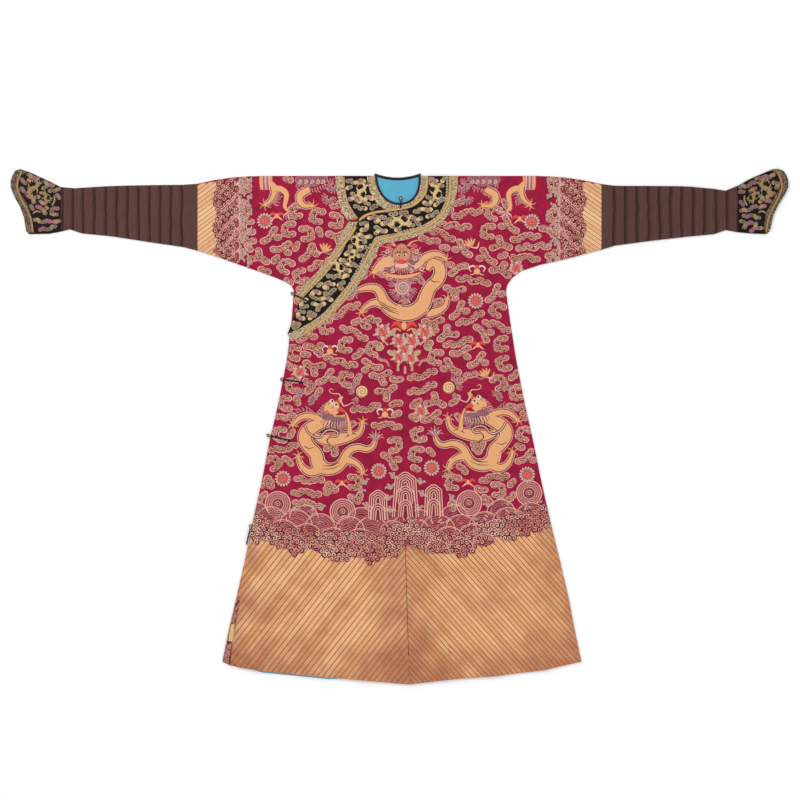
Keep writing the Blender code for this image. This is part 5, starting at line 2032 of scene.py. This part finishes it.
@dataclass
class SleeveBand:
    """The same sea set upright across a sleeve, over a band of gold stripes."""

    ground: Ground
    side: int

    def build(self, name: str) -> bpy.types.Object:
        """Stitch the stripes, the hills, the foam and the crests."""
        work = Needlework()
        chance = random.Random(17)
        self._stripes(work, chance)
        for out in (181, 173, 165):
            line = self._run((out, 150), (out, 280))
            if line:
                work.stroke(line, (8.6, 8.6), Thread.BANK, 0.3, step=8)
        inward = 0 if self.side < 0 else 180
        for k in range(24):
            place = self._place((160, 152, 163, 156)[k % 4], 176 + 4.1 * k)
            if self.ground.covers(*place):
                foam(work, place, inward + (-24, 30, 8, -40)[k % 4], (1, 0.8, 1, 0.85)[k % 4])
        for k in range(17):
            foot = self._place((173, 167)[k % 2], 173 + 5.6 * k)
            if self.ground.covers(*foot):
                hill(work, foot, (9, 8)[k % 2], 0.6 + 0.03 * k, turn=-self.side * (90 + 14))
        curl = Sea.curl()
        for i in range(5):
            for j in range(24):
                row = 168 + (j + 0.5 * (i % 2)) * 5.2
                spot = self._place(164.4 + i * 4.5 + 2.2 * math.sin(row / 4.4), row)
                if (i > 0 or (i + j) % 3) and self.ground.covers(*spot):
                    turn, tint = chance.uniform(0, 360), chance.uniform(0.2, 1.0)
                    work.stamp(curl, spot, turn, (0.92, 0.92), tint, 1.3)
        for k in range(5):
            for gap in (0, 2.4):
                row = 184 + 19 * k + gap
                line = [self._place(179, row + 8), self._place(170, row - 1), self._place(160, row - 12)]
                held = [place for place in line if self.ground.covers(*place)]
                if len(held) > 1:
                    work.stroke(held, (0.5, 0.65, 0.5), Thread.CREAM, 0.4, step=2.4, lift=1.7)
        bpy.data.meshes.remove(curl)
        return work.sew(name, self.ground, "crimson_silk")

    def _stripes(self, work: Needlework, chance: random.Random) -> None:
        """Lay the slanting gold stripes between the sleeve's seam and the crests."""
        tilt = math.tan(math.radians(39 if self.side < 0 else 37))
        for k in range(36):
            runs = []
            for share in (-2.27, -1.1, 0, 1.1, 2.27):
                row = 158 + k * 4.62 + share
                runs.append(self._run((206, row + 13 * tilt), (178, row - 13 * tilt)))
            held = carried(runs, 1.5)
            if held:
                work.strip(held, Thread.BAND, 0.5, 5, tint=chance.uniform(0.3, 0.8))

    def _run(self, start: Place, stop: Place) -> tuple[Vector, Vector] | None:
        """What the cloth carries of a line between two places of this sleeve."""
        return self.ground.reach(Vector(self._place(*start)), Vector(self._place(*stop)), -0.9, 99)

    def _place(self, out: float, row: float) -> Place:
        """A place so many squares out from the robe's middle, on this sleeve."""
        return CHART_MIDDLE + self.side * out, row


def blossom_cluster() -> Needlework:
    """A bat between peonies over the middle seam."""
    work = Needlework()
    for side in (-1, 1):
        flower, stem, wing_leaf, low_leaf, foot_leaf = spread(
            (404, 340), side, (21, -8), (16, 5), (11, -8), (24, 8), (13, 13)
        )
        peony(work, flower, 7.2)
        for place, size, turn in (
            (wing_leaf, (2.4, 4), 30), (low_leaf, (4.6, 3), -20), (foot_leaf, (4.4, 2.6), 30)
        ):
            work.disc(place, size, Thread.LEAF, 0.5, side * turn, sides=8)
        wing = spread((404, 340), side, (2, -12), (7, -17), (13, -13))
        work.stroke(wing, (4, 4.6, 1.2), Thread.RED, 0.6, step=1.8, lift=0.2)
        hem = spread((404, 340), side, (3, -9), (8, -11.4), (12, -9))
        work.stroke(hem, (1.6, 1.8, 0.7), Thread.GOLD, 0.5, step=1.8, lift=0.4)
        scroll = spread((404, 340), side, (30, 12), (25, 19), (18, 21), (15, 26))
        work.stroke(scroll, (2.0, 2.8, 2.4, 1.2), Thread.PALE_ROSE, 0.5, step=1.8)
        fringe(work, scroll, 8, 3.4, Thread.RED, side * 70, 1.1, 0.4, 0.2)
        work.stroke([(flower[0], 340), stem], (1.4, 1.8), Thread.LEAF, 0.5, step=2)
    work.disc((404, 326), (3, 4.4), Thread.GOLD, 0.8, sides=10, lift=0.3)
    blooms = ((399, 341, 6.6), (412, 341, 6.6), (404.6, 349, 6), (399, 357, 6), (411, 358, 6))
    for x, y, radius in blooms:
        peony(work, (x, y), radius)
    for x, y in ((398, 368), (405, 370.5), (412, 368)):
        work.stroke([(x, y - 4), (x, y + 3)], (1.8, 2.4), Thread.LEAF, 0.6, step=2)
    return work


def dragons(ground: Ground, word: str) -> None:
    """Stitch the dragons, each a piece of its own, and the blossoms between them.

    Args:
        ground: the cloth to sew on.
        word: the name of the face that it's on.
    """
    work = Needlework()
    CHEST_DRAGON.work(work)
    front_head(work, 401.7, 255.2)
    flames(work, (402.8, 287.6), 8.5, (200, 330, 90, 20, 160, 55, 125, 235, 300))
    work.disc((402.8, 287.6), (8, 8), Thread.PALE_ROSE, 0.4, sides=16)
    work.coil((402.8, 287.6), 7.2, 2.6, 1.2, Thread.CREAM, lift=0.4)
    work.sew(f"{word}_great_dragon", ground, "crimson_silk")
    for hand, turned in (("right", False), ("left", True)):
        work = Needlework()
        SKIRT_DRAGON.work(work)
        side_head(work)
        pearl(work, (362, 391.7), (185, 215, 245, 130))
        if turned:
            pattern = work.pattern()
            work = Needlework()
            work.stamp(pattern, (2 * 405.3, -4), scale=(-1, 1))
        work.sew(f"{word}_skirt_dragon_{hand}", ground, "crimson_silk")
        work = Needlework()
        shoulder_dragon(work, 397.6 if turned else 0)
        work.sew(f"{word}_shoulder_dragon_{hand}", ground, "crimson_silk")
    blossom_cluster().sew(f"{word}_blossoms", ground, "crimson_silk")


@dataclass(frozen=True)
class Trace:
    """A line of embroidery on the collar or a cuff."""

    thread: Thread
    width: float
    line: tuple[Place, ...]
    lift: float = 0.2


def traces(thread: Thread, width: float, *lines: tuple[Place, ...], lift: float = 0.2) -> list[Trace]:
    """Several lines worked in the same thread at the same width."""
    return [Trace(thread, width, line, lift) for line in lines]


OUTER_STRIP = (
    (450, 175), (450, 188), (448.6, 200.6), (443, 213), (432, 223.6), (416.5, 231), (393.6, 237),
    (379, 240), (373, 246.5), (367, 258), (361, 270), (351, 286), (338, 304), (322, 321), (303, 334),
)
UPPER_STRIP = ((356, 227), (349, 238), (338, 252), (326, 267), (311, 285), (296, 301))
RING_STRIP = ((344, 176), (344.5, 188), (347, 201), (352, 211), (357.5, 219))
OVERLAP_STRIP = (
    (358.5, 221), (365, 216), (374, 212.8), (386, 211), (397, 209.6), (408, 207.4), (416.5, 203.4),
    (423.5, 196), (426.5, 187), (427.5, 176),
)
COLLAR_TRACES = (
    *traces(Thread.STRAP, 2.4, OUTER_STRIP, UPPER_STRIP, OVERLAP_STRIP, lift=0.5),
    *traces(Thread.STRAP, 1.6, RING_STRIP, lift=0.3),
    *traces(Thread.BLACK, 2.0, ((357.6, 212), (358.2, 221), (357.4, 230))),
    *traces(Thread.STRAP, 1.2, ((374, 180), (376.5, 189), (382, 196))),
    *traces(Thread.STRAP, 1.2, ((424, 181), (421.6, 189), (417, 196))),
)
CUFF_STRIP = ((22.5, 171), (18.8, 179), (17.6, 188), (21, 198), (27, 209), (31.3, 220), (33.2, 233))
CUFF_TRACES = (
    *traces(Thread.DULL, 2.6, CUFF_STRIP, lift=0.4),
    *traces(Thread.DULL, 2.2, ((33, 214), (37, 211), (41, 213)), ((52, 206), (55, 200), (54, 194))),
)


COLLAR_DRAGONS = (
    (361.5, 190.5, 78, 0.66), (401, 221.5, 4, 0.74), (436, 192.5, -74, 0.66), (357, 242, 125, 0.58),
    (338, 267, -38, 0.62), (352, 257, 60, 0.4),
)
CUFF_DRAGONS = ((33.5, 188, 68, 0.74), (46, 197, -50, 0.5))  # column, row, turn in degrees and size


@dataclass
class NavyOrnament:
    """Gold dragons and pale clouds close together on navy silk, inside a gold strip and its beads."""

    navy: Ground
    whole: Ground
    lines: Sequence[Trace]
    strips: Sequence[Sequence[Place]]
    dragons: Sequence[tuple[float, float, float, float]]
    columns: Place
    rows: Place
    inward: int = 1
    seed: int = 23
    size: float = 0.64
    threads: Sequence[Thread] = (Thread.PALE, Thread.PALE_ROSE, Thread.OLD_GOLD, Thread.PALE, Thread.PALE)
    gold: Thread = Thread.OLD_GOLD

    def build(self, name: str) -> bpy.types.Object:
        """Stitch the lines, then the beads and the clouds round them."""
        work = Needlework()
        clear = []
        for trace in self.lines:
            held = [place for place in smooth_line(trace.line, 1.5) if self.whole.covers(*place)]
            if len(held) < 3:
                continue
            work.stroke(held[::2], (trace.width, trace.width), trace.thread, 0.6, step=2.2, lift=trace.lift)
            clear += [Zone(*place, trace.width / 2 + 0.4, trace.width / 2 + 0.4) for place in held[::2]]
        dragon = little_dragon(self.gold)
        for column, row, turn, size in self.dragons:
            work.stamp(dragon, (column, row), turn, (self.inward * size, size), lift=0.1)
            clear.append(Zone(column, row, 10 * size, 8.5 * size))
        bpy.data.meshes.remove(dragon)
        bead = Needlework()
        bead.disc((0, 0), (1.3, 1.3), Thread.PALE, 0.6, sides=6)
        bead = bead.pattern()
        for strip in self.strips:
            line = smooth_line(strip, 3.0)
            for start, stop in zip(line, line[1:]):
                aside = Vector((start.y - stop.y, stop.x - start.x)).normalized() * 2.9 * self.inward
                place = start + aside
                if self.navy.bare(*place, self.whole):
                    work.stamp(bead, place)
                    clear.append(Zone(*place, 1.4, 1.4))
        bpy.data.meshes.remove(bead)
        CloudField(
            self.navy,
            self.threads,
            clear,
            size=self.size,
            columns=self.columns,
            rows=self.rows,
            foot=((0, 600), (800, 600)),
            seed=self.seed,
            above=self.whole,
        ).sow(work)
        return work.sew(name, self.whole, "navy_silk")


def mirrored_traces(lines: Sequence[Trace]) -> list[Trace]:
    """The same lines on the robe's other side."""
    return [replace(line, line=tuple(mirrored(line.line, CHART_MIDDLE))) for line in lines]


def embroider(garment: Garment, side: int) -> None:
    """Work all the embroidery of one of the robe's faces.

    Args:
        garment: the cloth to stitch on.
        side: 1 for the front, which looks up, and -1 for the back, which lies on the floor.
    """
    word = "front" if side > 0 else "back"
    cuts = ("body_left", "body_right", "front_overlap")[: 2 + (side > 0)]
    crimson = garment.ground(*cuts, side=side, middle=BACK_MIDDLE)
    crimson_ground(crimson, f"{word}_clouds", 0 if side > 0 else 2 * (BACK_MIDDLE - CHART_MIDDLE))
    LishuiHem(crimson).build(f"{word}_hem_stripes")
    Sea(crimson).build(f"{word}_sea")
    dragons(crimson, word)
    sleeves = garment.ground(*cuts, side=side)
    for out in (-1, 1):
        hand = "left" if out * side > 0 else "right"
        SleeveBand(sleeves, out).build(f"{word}_sleeve_band_{hand}")
        cuff = garment.ground(f"cuff_{hand}", side=side)
        edge = garment.ground(f"cuff_{hand}", f"cuff_border_{hand}", side=side)
        lines = CUFF_TRACES if out < 0 else mirrored_traces(CUFF_TRACES)
        strip = CUFF_STRIP if out < 0 else mirrored(CUFF_STRIP, CHART_MIDDLE)
        middle = CHART_MIDDLE + out * 363
        columns = (middle - 27, middle + 27)
        little = [
            (CHART_MIDDLE + out * (CHART_MIDDLE - x), y, -out * turn, size)
            for x, y, turn, size in CUFF_DRAGONS
        ]
        ornament = NavyOrnament(cuff, edge, lines, (strip,), little, columns, (168, 236), -out, 29, 0.6)
        ornament.threads, ornament.gold = (Thread.DIM, Thread.DULL, Thread.DIM, Thread.MANE), Thread.DULL
        ornament.build(f"{word}_cuff_ornament_{hand}")
    if side < 0:
        navy = garment.ground("collar_back", side=side)
        NavyOrnament(navy, navy, (), (), (), (338, 462), (172, 222)).build("back_collar_ornament")
        return
    collar = ("collar_front", "collar_underlap", "collar_back")
    borders = ("border_front", "border_overlap", "border_underlap", "neck_band_front", "neck_band_underlap")
    navy = garment.ground(*collar)
    whole = garment.ground(*collar, *borders, *cuts)
    lines = (COLLAR_TRACES, (OUTER_STRIP,), COLLAR_DRAGONS)
    ornament = NavyOrnament(navy, whole, *lines, (286, 462), (176, 346))
    ornament.build("front_collar_ornament")


def main() -> None:
    """Build the robe and its setting."""
    logging.basicConfig(level=logging.INFO, format="%(message)s")
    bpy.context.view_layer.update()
    Studio().build()
    garment = Garment(CREASES)
    garment.build()
    for side in (1, -1):
        embroider(garment, side)
    for name, node in FRAME["nodes"].items():
        if name.startswith(("button", "loop")):
            node.data.materials.clear()
            node.data.materials.append(PALETTE.get(GILT if name.startswith("button") else DARK_EDGE))


if __name__ == "__main__":
    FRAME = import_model()
    main()
